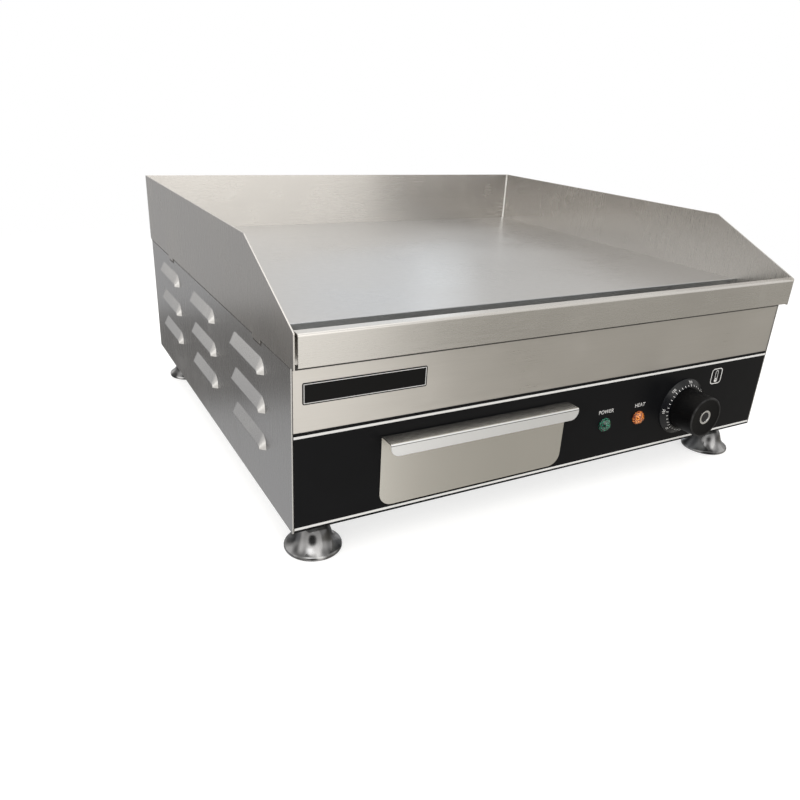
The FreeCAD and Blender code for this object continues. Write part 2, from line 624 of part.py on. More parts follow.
# ---------------------------------------------------------------- grease drawer
def drawer_front():
    """Drawer face with its top edge folded forward and down into a full-width handle."""
    path = [(DRAWER_FACE_Y - BODY_SHEET, DRAWER_FACE_BOTTOM_Z),
            (DRAWER_FACE_Y - BODY_SHEET, DRAWER_FACE_TOP_Z - BODY_SHEET),
            (HANDLE_Y + BODY_SHEET, DRAWER_FACE_TOP_Z - BODY_SHEET),
            (HANDLE_Y + BODY_SHEET, DRAWER_FACE_TOP_Z - HANDLE_DROP)]
    front = folded_sheet(path, BODY_SHEET, 0.9, "yz", DRAWER_X - DRAWER_FACE_HALF,
                         2 * DRAWER_FACE_HALF)
    face_outline = [(DRAWER_X - DRAWER_FACE_HALF, DRAWER_FACE_BOTTOM_Z),
                    (DRAWER_X + DRAWER_FACE_HALF, DRAWER_FACE_BOTTOM_Z),
                    (DRAWER_X + DRAWER_FACE_HALF, DRAWER_FACE_TOP_Z + 1),
                    (DRAWER_X - DRAWER_FACE_HALF, DRAWER_FACE_TOP_Z + 1)]
    face_keep = plate_2d(face_outline, [12.0, 12.0, 0, 0], "xz", DRAWER_FACE_Y - 2 * BODY_SHEET,
                         3 * BODY_SHEET)
    lip_low = DRAWER_FACE_TOP_Z - HANDLE_DROP
    lip_outline = [(a, lip_low if b < DRAWER_FACE_TOP_Z else b) for a, b in face_outline]
    lip_keep = plate_2d(lip_outline, [8.0, 8.0, 0, 0], "xz", HANDLE_Y - 1,
                        DRAWER_FACE_Y - 2 * BODY_SHEET - HANDLE_Y + 1)
    return front.common(face_keep.fuse(lip_keep)).removeSplitter()


def drawer_tray():
    """Open box behind the drawer's face, folded from thin sheet with rounded corners."""
    y0 = DRAWER_FACE_Y
    y1 = y0 + TRAY_DEPTH
    corners = [(DRAWER_X - TRAY_HALF, y0), (DRAWER_X + TRAY_HALF, y0),
               (DRAWER_X + TRAY_HALF, y1), (DRAWER_X - TRAY_HALF, y1)]
    inner = [(a + (TRAY_SHEET if a < DRAWER_X else -TRAY_SHEET),
              b + (TRAY_SHEET if b < y1 - 1 else -TRAY_SHEET)) for a, b in corners]
    outside = plate_2d(corners, [0, 0, 3.0, 3.0], "xy", TRAY_BOTTOM_Z, TRAY_TOP_Z - TRAY_BOTTOM_Z)
    inside = plate_2d(inner, 2.2, "xy", TRAY_BOTTOM_Z + TRAY_SHEET, TRAY_TOP_Z - TRAY_BOTTOM_Z)
    return outside.cut(inside)


def drawer_runner():
    """Left runner: foot flange on the base, upright leg, top keeper and the ledge for the tray."""
    inner = DRAWER_X - TRAY_HALF - RUNNER_GAP
    outer = inner - BODY_SHEET
    y0 = PANEL_INNER_Y + 9.2
    y1 = DRAWER_FACE_Y + TRAY_DEPTH + 12.0
    ledge_z = TRAY_BOTTOM_Z - 0.3 - BODY_SHEET
    keeper_z = TRAY_TOP_Z + 0.6
    leg = box(outer, inner, y0, y1, BASE_TOP_Z, keeper_z + BODY_SHEET)
    foot = box(outer - 13.0, outer, y0, y1, BASE_TOP_Z, BASE_TOP_Z + BODY_SHEET)
    ledge = box(inner, inner + 12.0, y0, y1, ledge_z, ledge_z + BODY_SHEET)
    keeper = box(inner, inner + 8.0, y0, y1, keeper_z, keeper_z + BODY_SHEET)
    return joined([leg, foot, ledge, keeper])


def drawer_runner_right():
    """Right runner, the left one's mirror image about the drawer's centre."""
    return drawer_runner().mirror(V(DRAWER_X, 0, 0), V(1, 0, 0))


# ---------------------------------------------------------------- controls
BODY_Y0 = PANEL_INNER_Y + 2.0
THERMOSTAT_SIZE = (36.0, 34.0, 44.0)


def thermostat_screw_seats():
    """Fixing points of the thermostat, under the dial bezel."""
    return [V(KNOB_X + side * 14.0, PANEL_Y, KNOB_Z) for side in (-1, 1)]


def thermostat_body():
    """Capillary thermostat: fixing plate, housing, terminal tags and the bush for its spindle."""
    width, depth, height = THERMOSTAT_SIZE
    plate = box(KNOB_X - 19.0, KNOB_X + 19.0, PANEL_INNER_Y, BODY_Y0, KNOB_Z - 10.0, KNOB_Z + 10.0)
    housing = box(KNOB_X - width / 2, KNOB_X + width / 2, BODY_Y0, BODY_Y0 + depth,
                  KNOB_Z - height / 2, KNOB_Z + height / 2)
    housing = housing.makeFillet(2.0, [edge for edge in housing.Edges if edge.BoundBox.YLength > 5])
    bush = rod(V(KNOB_X, PANEL_Y - 3.0, KNOB_Z), V(0, 1, 0), BUSH_RADIUS, BODY_Y0 - PANEL_Y + 4.0)
    tags = [box(KNOB_X + x - 3.0, KNOB_X + x + 3.0, BODY_Y0 + depth, BODY_Y0 + depth + 8.0,
                KNOB_Z + z - 0.4, KNOB_Z + z + 0.4) for x in (-9.0, 9.0) for z in (-12.0, 12.0)]
    unit = joined([plate, housing, bush] + tags)
    unit = unit.cut(rod(V(KNOB_X, PANEL_Y - 4.0, KNOB_Z), V(0, 1, 0), SPINDLE_RADIUS + THREAD_GAP, 24.0))
    for seat in thermostat_screw_seats():
        unit = unit.cut(rod(seat, V(0, 1, 0), 1.5, 6.0))
    return unit


def thermostat_screws():
    """Two screws through the front panel into the thermostat, covered by the bezel."""
    return group([pan_screw(seat, V(0, -1, 0), 1.5, 5.0) for seat in thermostat_screw_seats()])


def thermostat_spindle():
    """Spindle with a flat on its front end for the knob."""
    start = V(KNOB_X, SPINDLE_FRONT_Y, KNOB_Z)
    spindle = rod(start, V(0, 1, 0), SPINDLE_RADIUS, 36.0)
    flat = box(KNOB_X - 4.0, KNOB_X + 4.0, SPINDLE_FRONT_Y, SPINDLE_FRONT_Y + 12.0,
               KNOB_Z + SPINDLE_FLAT, KNOB_Z + 4.0)
    return spindle.cut(flat)


def dial_bezel():
    """Fixed conical ring round the knob that carries the temperature scale."""
    profile = [V(BEZEL_RADIUS, 0, 0), V(BEZEL_RADIUS, 0, 1.0), V(BEZEL_TOP_RADIUS, 0, BEZEL_HEIGHT),
               V(BEZEL_BORE, 0, BEZEL_HEIGHT), V(BEZEL_BORE, 0, 3.0), V(BEZEL_WELL_RADIUS, 0, 3.0),
               V(BEZEL_WELL_RADIUS, 0, 0), V(BEZEL_RADIUS, 0, 0)]
    bezel = Part.Face(Part.makePolygon(profile)).revolve(V(0, 0, 0), V(0, 0, 1), 360)
    facing = FreeCAD.Rotation(V(0, 0, 1), V(0, -1, 0))
    bezel.Placement = FreeCAD.Placement(V(KNOB_X, OVERLAY_Y, KNOB_Z), facing)
    return bezel


def knob_grip():
    """Hollow cylindrical knob with a dished face, a spindle boss and an emblem recess."""
    front = FRONT_Y - KNOB_REACH
    back = OVERLAY_Y - 3.4
    start = V(KNOB_X, front, KNOB_Z)
    along = V(0, 1, 0)
    body = rod(start, along, KNOB_RADIUS, back - front)
    rim = [edge for edge in body.Edges if edge.BoundBox.YMax < front + 0.01]
    body = body.makeFillet(1.6, rim)
    dish = Part.makeSphere(180.0, V(KNOB_X, front - 178.9, KNOB_Z))
    body = body.cut(dish.common(rod(V(KNOB_X, front - 5, KNOB_Z), along, 17.6, 10)))
    hollow = ring(V(KNOB_X, front + 5.0, KNOB_Z), along, KNOB_RADIUS - 2.2, 7.0, back - front)
    body = body.cut(hollow)
    body = body.cut(rod(start, along, EMBLEM_RADIUS, EMBLEM_SEAT))
    bore = rod(V(KNOB_X, SPINDLE_FRONT_Y, KNOB_Z), along, SPINDLE_RADIUS, 40.0)
    bore = bore.cut(box(KNOB_X - 4.0, KNOB_X + 4.0, front, SPINDLE_FRONT_Y + 12.0,
                        KNOB_Z + SPINDLE_FLAT, KNOB_Z + 4.0))
    return body.cut(bore)


def knob_emblem():
    """Plain disc with a raised ring, pressed into the knob's face."""
    start = V(KNOB_X, FRONT_Y - KNOB_REACH + EMBLEM_SUNK, KNOB_Z)
    disc = rod(start, V(0, 1, 0), EMBLEM_RADIUS, EMBLEM_SEAT - EMBLEM_SUNK)
    return disc.cut(rod(start, V(0, 1, 0), EMBLEM_RADIUS - 1.8, 0.5))


def lamp_lens(x):
    """Domed lens of an indicator lamp, with a shallow flange on the control strip."""
    flange = Part.makeCylinder(LENS_RADIUS, 1.2)
    dome = Part.makeSphere(8.0, V(0, 0, -2.2)).common(Part.makeCylinder(LENS_RADIUS - 0.4, 12.0))
    lens = flange.fuse(dome).removeSplitter()
    facing = FreeCAD.Rotation(V(0, 0, 1), V(0, -1, 0))
    lens.Placement = FreeCAD.Placement(V(x, OVERLAY_Y, LAMP_Z), facing)
    return lens


def lamp_bodies():
    """Barrels of the two lamps behind the panel, each with a pair of tags."""
    barrels = []
    for x in LAMP_XS:
        barrel = rod(V(x, OVERLAY_Y, LAMP_Z), V(0, 1, 0), LAMP_HOLE_RADIUS - 0.1, 22.0)
        tags = [box(x + dx - 0.4, x + dx + 0.4, OVERLAY_Y + 22.0, OVERLAY_Y + 29.0,
                    LAMP_Z - 2.4, LAMP_Z + 2.4) for dx in (-2.8, 2.8)]
        barrels.append(joined([barrel] + tags))
    return group(barrels)


def lamp_nuts():
    """Nuts that clamp the lamps to the front panel."""
    return group([hexagon(V(x, PANEL_INNER_Y, LAMP_Z), V(0, 1, 0), 16.0, 3.5, LAMP_HOLE_RADIUS - 0.1)
                  for x in LAMP_XS])


def nameplate():
    """Blank plate on the upper left of the front panel."""
    width, height = NAMEPLATE_SIZE
    x0, z0 = NAMEPLATE_LEFT_X, NAMEPLATE_BOTTOM_Z
    points = [(x0, z0), (x0 + width, z0), (x0 + width, z0 + height), (x0, z0 + height)]
    return plate_2d(points, 1.5, "xz", PANEL_Y - LABEL_THICKNESS, LABEL_THICKNESS)


# ---------------------------------------------------------------- heating
def run_ys(index):
    """Y of each straight run of one heating element."""
    first = ROD_FIRST_Y + index * ROD_RUNS * ROD_PITCH
    return [first + ROD_PITCH * run for run in range(ROD_RUNS)]


def element_ends(index):
    """Y of the two ends of one heating element, both on the right."""
    ys = run_ys(index)
    return ys[0], ys[-1]


TERMINAL_X = ROD_RIGHT_X + 4.0
TERMINAL_TOP_Z = ROD_Z - 22.0
BUSH_HEIGHT = 12.0
PIN_LENGTH = 8.0


def heating_element(index):
    """Tubular element folded back and forth under the plate, its ends turned down at the right."""
    ys = run_ys(index)
    turn = ROD_PITCH / 2
    points = [V(TERMINAL_X, ys[0], TERMINAL_TOP_Z), V(TERMINAL_X, ys[0], ROD_Z)]
    near_right = ROD_RIGHT_X - 30.0
    for run, y in enumerate(ys):
        going_left = run % 2 == 0
        end_x = ROD_LEFT_X if going_left else near_right
        if run < ROD_RUNS - 1:
            points.append(V(end_x, y, ROD_Z))
            points.append(V(end_x, ys[run + 1], ROD_Z))
    points.append(V(TERMINAL_X, ys[-1], ROD_Z))
    points.append(V(TERMINAL_X, ys[-1], TERMINAL_TOP_Z))
    radii = [0, 9.0] + [turn - 0.01] * (len(points) - 4) + [9.0, 0]
    path = rounded_wire(points, radii, closed=False)
    section = Part.Wire(Part.makeCircle(ROD_RADIUS, points[0], V(0, 0, 1)))
    return path.makePipeShell([section], True, False)


def element_terminals():
    """Ceramic bush and screw pin at each end of each element."""
    ends = []
    for index in range(len(ELEMENT_NAMES)):
        for y in element_ends(index):
            top = V(TERMINAL_X, y, TERMINAL_TOP_Z)
            bush = rod(top, V(0, 0, -1), ROD_RADIUS + 1.5, BUSH_HEIGHT)
            pin = rod(top - V(0, 0, BUSH_HEIGHT), V(0, 0, -1), 2.0, PIN_LENGTH)
            ends.append(joined([bush, pin]))
    return group(ends)


def stud_places():
    """Centres of the studs under the plate, midway between heating runs."""
    last = len(ELEMENT_NAMES) - 1
    ys = [run_ys(0)[0] + ROD_PITCH / 2, run_ys(1)[1] + ROD_PITCH / 2, run_ys(last)[-2] + ROD_PITCH / 2]
    return [(x, y) for x in BAR_XS for y in ys]


def plate_studs():
    """Studs welded to the plate's underside."""
    length = PLATE_BOTTOM_Z - BAR_TOP_Z + BAR_THICKNESS + 7.0
    return group([rod(V(x, y, PLATE_BOTTOM_Z), V(0, 0, -1), 3.0, length) for x, y in stud_places()])


def clamp_bars():
    """Flat bars that press the elements against the plate."""
    ys = [y for _, y in stud_places()]
    bars = []
    for bar_x in BAR_XS:
        bar = box(bar_x - BAR_WIDTH / 2, bar_x + BAR_WIDTH / 2, min(ys) - 34.0, max(ys) + 34.0,
                  BAR_TOP_Z - BAR_THICKNESS, BAR_TOP_Z)
        for x, y in stud_places():
            if x == bar_x:
                bar = bar.cut(rod(V(x, y, BAR_TOP_Z + 1), V(0, 0, -1), 3.2, 5))
        bars.append(bar)
    return group(bars)


def clamp_nuts():
    """Nuts on the studs under the clamp bars."""
    return group([hexagon(V(x, y, BAR_TOP_Z - BAR_THICKNESS), V(0, 0, -1), 10.0, 5.0, 3.0)
                  for x, y in stud_places()])


def heat_shield():
    """Shallow reflector pan under the elements, hung from the side panels' top flanges."""
    left = -BODY_INNER_X + 2.0
    right = SHIELD_RIGHT_X
    front = FLANGE_START_Y + 2.0
    rear = REAR_INNER_Y - 10.0
    low = SHIELD_Z
    high = SEAM_Z - BODY_SHEET
    floor = box(left, right, front, rear, low, low + SHIELD_SHEET)
    walls = [
        box(left, left + SHIELD_SHEET, front, rear, low, high),
        box(right - SHIELD_SHEET, right, front, rear, low, BAR_TOP_Z - 4.0),
        box(left, right, front, front + SHIELD_SHEET, low, BAR_TOP_Z - 4.0),
        box(left, right, rear - SHIELD_SHEET, rear, low, BAR_TOP_Z - 4.0),
    ]
    hang_x = BODY_INNER_X - 1.5
    hangers = []
    for index in (0, len(ELEMENT_NAMES) - 1):
        y = run_ys(index)[1]
        hangers.append(box(right - 20.0, hang_x, y, y + 20.0, low - SHIELD_SHEET, low))
        hangers.append(box(hang_x - SHIELD_SHEET, hang_x, y, y + 20.0, low - SHIELD_SHEET, high))
    pan = joined([floor] + walls + hangers)
    for seat in tray_screw_seats():
        pan = pan.cut(rod(seat, V(0, 0, -1), 4.6, 6.0))
    return pan


def insulation_blanket():
    """Ceramic-fibre blanket lying in the heat shield."""
    gap = 1.0
    return box(-BODY_INNER_X + 2.0 + SHIELD_SHEET + gap, SHIELD_RIGHT_X - SHIELD_SHEET - gap,
               FLANGE_START_Y + 2.0 + SHIELD_SHEET + gap, REAR_INNER_Y - 10.0 - SHIELD_SHEET - gap,
               SHIELD_Z + SHIELD_SHEET, SHIELD_Z + SHIELD_SHEET + BLANKET_THICKNESS)


def limit_cutout():
    """Bimetal cut-out fixed to the plate's underside, with two tags."""
    centre = V(-85.0, run_ys(1)[0] + ROD_PITCH / 2, PLATE_BOTTOM_Z)
    flange = rod(centre, V(0, 0, -1), 9.5, 1.5)
    can = rod(centre, V(0, 0, -1), 8.0, 11.0)
    tags = [box(centre.x + dx - 0.4, centre.x + dx + 0.4, centre.y - 3.0, centre.y + 3.0,
                centre.z - 16.0, centre.z - 11.0) for dx in (-5.0, 5.0)]
    return joined([flange, can] + tags)


BULB_Y = run_ys(1)[0] + ROD_PITCH / 2
BULB_END_X = 120.0


def sensor_bulb():
    """Thermostat's sensing bulb against the plate's underside."""
    bulb = rod(V(BULB_END_X - BULB_LENGTH, BULB_Y, BULB_Z), V(1, 0, 0), BULB_RADIUS, BULB_LENGTH)
    return bulb.makeFillet(1.5, [edge for edge in bulb.Edges if edge.BoundBox.XLength < 0.01])


def sensor_capillary():
    """Capillary tube from the bulb, over the shield's edge and forward to the thermostat."""
    tail_y = BODY_Y0 + THERMOSTAT_SIZE[1]
    points = [
        V(BULB_END_X, BULB_Y, BULB_Z),
        V(ROD_RIGHT_X - 5.0, BULB_Y, BULB_Z),
        V(ROD_RIGHT_X - 5.0, BULB_Y, 130.0),
        V(ROD_RIGHT_X - 5.0, tail_y + 60.0, 120.0),
        V(KNOB_X, tail_y + 45.0, KNOB_Z),
        V(KNOB_X, tail_y, KNOB_Z),
    ]
    return bent_rod(points, CAPILLARY_RADIUS, 12.0)


# ---------------------------------------------------------------- supply and wiring
def cable_gland_body():
    """Gland body through the rear panel: hexagon, thread inside and outside, cable bore."""
    out = V(0, 1, 0)
    seat = V(GLAND_X, REAR_Y, GLAND_Z)
    collar = hexagon(seat, out, 21.0, 5.0)
    inner = rod(V(GLAND_X, REAR_INNER_Y - 9.0, GLAND_Z), out, GLAND_RADIUS, 9.0 + BODY_SHEET)
    outer = rod(seat, out, GLAND_RADIUS, 9.0)
    body = joined([collar, inner, outer])
    return body.cut(rod(V(GLAND_X, REAR_INNER_Y - 10.0, GLAND_Z), out, CABLE_RADIUS, 30.0))


def cable_gland_cap():
    """Gland's clamping cap, ready for the supply cable."""
    out = V(0, 1, 0)
    seat = V(GLAND_X, REAR_Y + 5.4, GLAND_Z)
    length = BACK_Y + GLAND_REACH - seat.y
    shell = hexagon(seat, out, 21.0, length - 4.0)
    nose = Part.makeCone(9.4, 7.4, 4.0, V(GLAND_X, seat.y + length - 4.0, GLAND_Z), out)
    cap = joined([shell, nose])
    cap = cap.cut(rod(seat, out, GLAND_RADIUS, 4.2))
    return cap.cut(rod(seat, out, CABLE_RADIUS, length + 1))


def cable_gland_locknut():
    """Locknut on the gland's thread, inside the rear panel."""
    return hexagon(V(GLAND_X, REAR_INNER_Y, GLAND_Z), V(0, -1, 0), 22.0, 4.0, GLAND_RADIUS)


def earth_stud():
    """Stepped bonding stud through the rear panel: thick where the nuts clamp it, thinner outside."""
    out = V(0, 1, 0)
    step_y = REAR_Y + EARTH_WASHER + EARTH_NUT_HEIGHT
    shank_start = V(EARTH_X, REAR_INNER_Y - EARTH_INSIDE, GLAND_Z)
    shank = rod(shank_start, out, EARTH_SHANK_RADIUS, step_y - shank_start.y)
    free_end = rod(V(EARTH_X, step_y, GLAND_Z), out, EARTH_RADIUS, EARTH_FREE_END)
    return joined([shank, free_end])


def earth_nuts():
    """Nut and washer on each side of the rear panel."""
    inside = V(EARTH_X, REAR_INNER_Y, GLAND_Z)
    outside = V(EARTH_X, REAR_Y, GLAND_Z)
    pieces = []
    for seat, out in ((inside, V(0, -1, 0)), (outside, V(0, 1, 0))):
        pieces.append(ring(seat, out, EARTH_WASHER_RADIUS, EARTH_SHANK_RADIUS, EARTH_WASHER))
        pieces.append(hexagon(seat + out * EARTH_WASHER, out, EARTH_NUT_WIDTH, EARTH_NUT_HEIGHT,
                              EARTH_SHANK_RADIUS))
    return group(pieces)


def rating_plate():
    """Blank plate on the rear panel."""
    width, height = RATING_SIZE
    z0 = RATING_BOTTOM_Z
    points = [(-width / 2, z0), (width / 2, z0), (width / 2, z0 + height), (-width / 2, z0 + height)]
    return plate_2d(points, 3.0, "xz", REAR_Y, LABEL_THICKNESS)


BLOCK_SEAT_Z = BASE_TOP_Z + 8.0
BLOCK_SCREW_RADIUS = 1.8


def block_screw_ys():
    """Y of the front and rear clamp screws of each pole."""
    return BLOCK_Y - 7.0, BLOCK_Y + 7.0


def pole_xs():
    """X of the terminal block's three poles."""
    pitch = 13.0
    return [BLOCK_X + pitch * pole for pole in (-1, 0, 1)]


def terminal_block():
    """Three-pole ceramic terminal block on the base."""
    width, depth, height = BLOCK_SIZE
    block = box(BLOCK_X - width / 2, BLOCK_X + width / 2, BLOCK_Y - depth / 2, BLOCK_Y + depth / 2,
                BASE_TOP_Z, BASE_TOP_Z + height)
    block = block.makeFillet(1.5, [edge for edge in block.Edges if edge.BoundBox.ZLength > 5])
    for x in pole_xs():
        block = block.cut(box(x - 4.5, x + 4.5, BLOCK_Y - depth / 2, BLOCK_Y + depth / 2,
                              BLOCK_SEAT_Z, BASE_TOP_Z + height))
        for y in block_screw_ys():
            block = block.cut(rod(V(x, y, BLOCK_SEAT_Z - 4.0), V(0, 0, 1), BLOCK_SCREW_RADIUS, 5.0))
    return block


def block_screws():
    """Clamp screws of the terminal block."""
    return group([pan_screw(V(x, y, BLOCK_SEAT_Z), V(0, 0, 1), BLOCK_SCREW_RADIUS, 4.0)
                  for x in pole_xs() for y in block_screw_ys()])


def wire_z():
    """Height of a wire's centre where it enters the terminal block."""
    return BLOCK_SEAT_Z + WIRE_RADIUS


def supply_wires():
    """Three cores from the gland to the terminal block."""
    wires = []
    start_y = REAR_INNER_Y - 9.4
    for pole, x in zip((-1, 0, 1), pole_xs()):
        points = [V(GLAND_X + CORE_PITCH * pole, start_y, GLAND_Z),
                  V(GLAND_X + CORE_PITCH * pole, start_y - 12.0, GLAND_Z),
                  V(x, BLOCK_Y + 26.0, wire_z()),
                  V(x, BLOCK_Y + 13.0, wire_z())]
        wires.append(bent_rod(points, WIRE_RADIUS, 6.0))
    return group(wires)


def control_wires():
    """Two cores from the terminal block forward to the thermostat's lower tags."""
    wires = []
    tag_y = BODY_Y0 + THERMOSTAT_SIZE[1] + 8.0
    for x, tag in zip(pole_xs()[:2], (-9.0, 9.0)):
        points = [V(x, BLOCK_Y - 13.0, wire_z()),
                  V(x, BLOCK_Y - 40.0, wire_z()),
                  V(x + 20.0, BLOCK_Y - 120.0, wire_z()),
                  V(x + 14.0, tag_y + 80.0, wire_z() + 6.0),
                  V(KNOB_X + tag, tag_y + 25.0, KNOB_Z - 12.0),
                  V(KNOB_X + tag, tag_y, KNOB_Z - 12.0)]
        wires.append(bent_rod(points, WIRE_RADIUS, 9.0))
    return group(wires)


def element_wires():
    """Links between the elements' pins, and one core forward to the thermostat's upper tag."""
    level = TERMINAL_TOP_Z - BUSH_HEIGHT - PIN_LENGTH
    drop = 14.0
    ys = [y for index in range(len(ELEMENT_NAMES)) for y in element_ends(index)]
    wires = []
    for start, end in ((ys[0], ys[2]), (ys[3], ys[5])):
        points = [V(TERMINAL_X, start, level), V(TERMINAL_X, start, level - drop),
                  V(TERMINAL_X, end, level - drop), V(TERMINAL_X, end, level)]
        wires.append(bent_rod(points, WIRE_RADIUS, 7.0))
    tag_y = BODY_Y0 + THERMOSTAT_SIZE[1] + 8.0
    points = [V(TERMINAL_X, ys[1], level), V(TERMINAL_X, ys[1], level - 34.0),
              V(KNOB_X + 9.0, tag_y + 30.0, KNOB_Z + 12.0), V(KNOB_X + 9.0, tag_y, KNOB_Z + 12.0)]
    wires.append(bent_rod(points, WIRE_RADIUS, 9.0))
    return group(wires)


# ---------------------------------------------------------------- files
PIECES = {
    "splash_guard": splash_guard(),
    "griddle_plate": griddle_plate(),
    "plate_gasket": plate_gasket(),
    "gutter_trough": gutter_trough(),
    "side_panel_left": side_panel(),
    "side_panel_right": mirrored(side_panel()),
    "front_panel": front_panel(),
    "control_overlay": control_overlay(),
    "rear_panel": rear_panel(),
    "base_plate": base_plate(),
    "nameplate": nameplate(),
    "rating_plate": rating_plate(),
    "tray_screws": tray_screws(),
    "rear_screws": rear_screws(),
    "foot_nuts": foot_nuts(),
    "drawer_front": drawer_front(),
    "drawer_tray": drawer_tray(),
    "drawer_runner_left": drawer_runner(),
    "drawer_runner_right": drawer_runner_right(),
    "thermostat_body": thermostat_body(),
    "thermostat_screws": thermostat_screws(),
    "thermostat_spindle": thermostat_spindle(),
    "dial_bezel": dial_bezel(),
    "knob_grip": knob_grip(),
    "knob_emblem": knob_emblem(),
    "power_lamp_lens": lamp_lens(LAMP_XS[0]),
    "heat_lamp_lens": lamp_lens(LAMP_XS[1]),
    "lamp_bodies": lamp_bodies(),
    "lamp_nuts": lamp_nuts(),
    "element_terminals": element_terminals(),
    "plate_studs": plate_studs(),
    "clamp_bars": clamp_bars(),
    "clamp_nuts": clamp_nuts(),
    "heat_shield": heat_shield(),
    "insulation_blanket": insulation_blanket(),
    "limit_cutout": limit_cutout(),
    "sensor_bulb": sensor_bulb(),
    "sensor_capillary": sensor_capillary(),
    "cable_gland_body": cable_gland_body(),
    "cable_gland_cap": cable_gland_cap(),
    "cable_gland_locknut": cable_gland_locknut(),
    "earth_stud": earth_stud(),
    "earth_nuts": earth_nuts(),
    "terminal_block": terminal_block(),
    "block_screws": block_screws(),
    "supply_wires": supply_wires(),
    "control_wires": control_wires(),
    "element_wires": element_wires(),
}
for number, element_name in enumerate(ELEMENT_NAMES):
    PIECES["heating_element_" + element_name] = heating_element(number)
for row_name, foot_y in FOOT_YS.items():
    for side_name, side_sign in FOOT_SIDES.items():
        place_name = row_name + "_" + side_name
        PIECES["foot_bell_" + place_name] = foot_bell(side_sign * FOOT_X, foot_y)
        PIECES["foot_stud_" + place_name] = foot_stud(side_sign * FOOT_X, foot_y)

os.makedirs("parts", exist_ok=True)
for name, piece in PIECES.items():
    piece.exportStep("parts/" + name + ".step")
    solids = len(piece.Solids)
    print(f"{name:24s} solids {solids:2d}  volume {piece.Volume / 1000:9.2f} cm3  valid {piece.isValid()}")
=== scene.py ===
"""Looks, light and camera for the countertop electric griddle. Lengths are in metres."""
import json
import math

import bmesh
import bpy
from mathutils import Matrix, Vector


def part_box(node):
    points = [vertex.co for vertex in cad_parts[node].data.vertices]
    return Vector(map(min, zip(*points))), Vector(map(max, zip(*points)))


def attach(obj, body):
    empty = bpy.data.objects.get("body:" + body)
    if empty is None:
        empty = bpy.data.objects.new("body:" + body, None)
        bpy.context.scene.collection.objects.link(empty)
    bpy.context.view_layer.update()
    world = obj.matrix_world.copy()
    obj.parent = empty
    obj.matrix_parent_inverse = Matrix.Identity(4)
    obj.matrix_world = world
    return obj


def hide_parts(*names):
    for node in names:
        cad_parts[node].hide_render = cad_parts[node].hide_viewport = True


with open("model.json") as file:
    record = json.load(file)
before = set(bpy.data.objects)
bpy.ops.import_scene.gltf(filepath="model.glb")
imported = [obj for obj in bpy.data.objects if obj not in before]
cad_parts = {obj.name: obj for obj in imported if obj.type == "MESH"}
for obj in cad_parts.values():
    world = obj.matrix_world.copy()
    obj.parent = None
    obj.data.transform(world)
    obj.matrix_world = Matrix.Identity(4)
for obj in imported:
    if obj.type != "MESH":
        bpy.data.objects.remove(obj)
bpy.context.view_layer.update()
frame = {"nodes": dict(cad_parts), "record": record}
NODES = frame["nodes"]
MM = 0.001

# ---------------------------------------------------------------- places on the object, read off its nodes
STRIP_LOW, STRIP_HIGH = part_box("control_overlay")
BEZEL_LOW, BEZEL_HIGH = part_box("dial_bezel")
KNOB_LOW, KNOB_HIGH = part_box("knob_grip")
PLATE_LOW, PLATE_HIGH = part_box("griddle_plate")
GUARD_LOW, GUARD_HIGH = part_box("splash_guard")
NAME_LOW, NAME_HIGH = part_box("nameplate")
RATING_LOW, RATING_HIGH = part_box("rating_plate")
DIAL_X = (BEZEL_LOW.x + BEZEL_HIGH.x) / 2
DIAL_Z = (BEZEL_LOW.z + BEZEL_HIGH.z) / 2
KNOB_RADIUS = (KNOB_HIGH.x - KNOB_LOW.x) / 2
BEZEL_RADIUS = (BEZEL_HIGH.x - BEZEL_LOW.x) / 2
BEZEL_TOP_RADIUS = 23.4 * MM
BEZEL_RIM = 1.0 * MM                 # straight rim before the cone starts
CONE_HEIGHT = BEZEL_HIGH.y - BEZEL_LOW.y - BEZEL_RIM
EMBLEM_CENTRE = 5.4 * MM             # radius of the dark centre in the knob's ring
PRINT_LIFT = 0.06 * MM               # how far printing stands off its surface
GUARD_SHEET = 1.2 * MM
PANEL_HALF = 274.0 * MM              # outer face of the side panels
SEAM_Z = GUARD_HIGH.z - 77.0 * MM
# width of the strips of painted shadow along that seam
SEAM_WIDTH = 1.9 * MM
LIP_SHADOW = 3.6 * MM                # height of the painted shadow under the gutter's lip
TAB_LENGTH = 20.0 * MM
TAB_STARTS = (GUARD_LOW.y + 74.5 * MM, GUARD_LOW.y + 386.0 * MM)


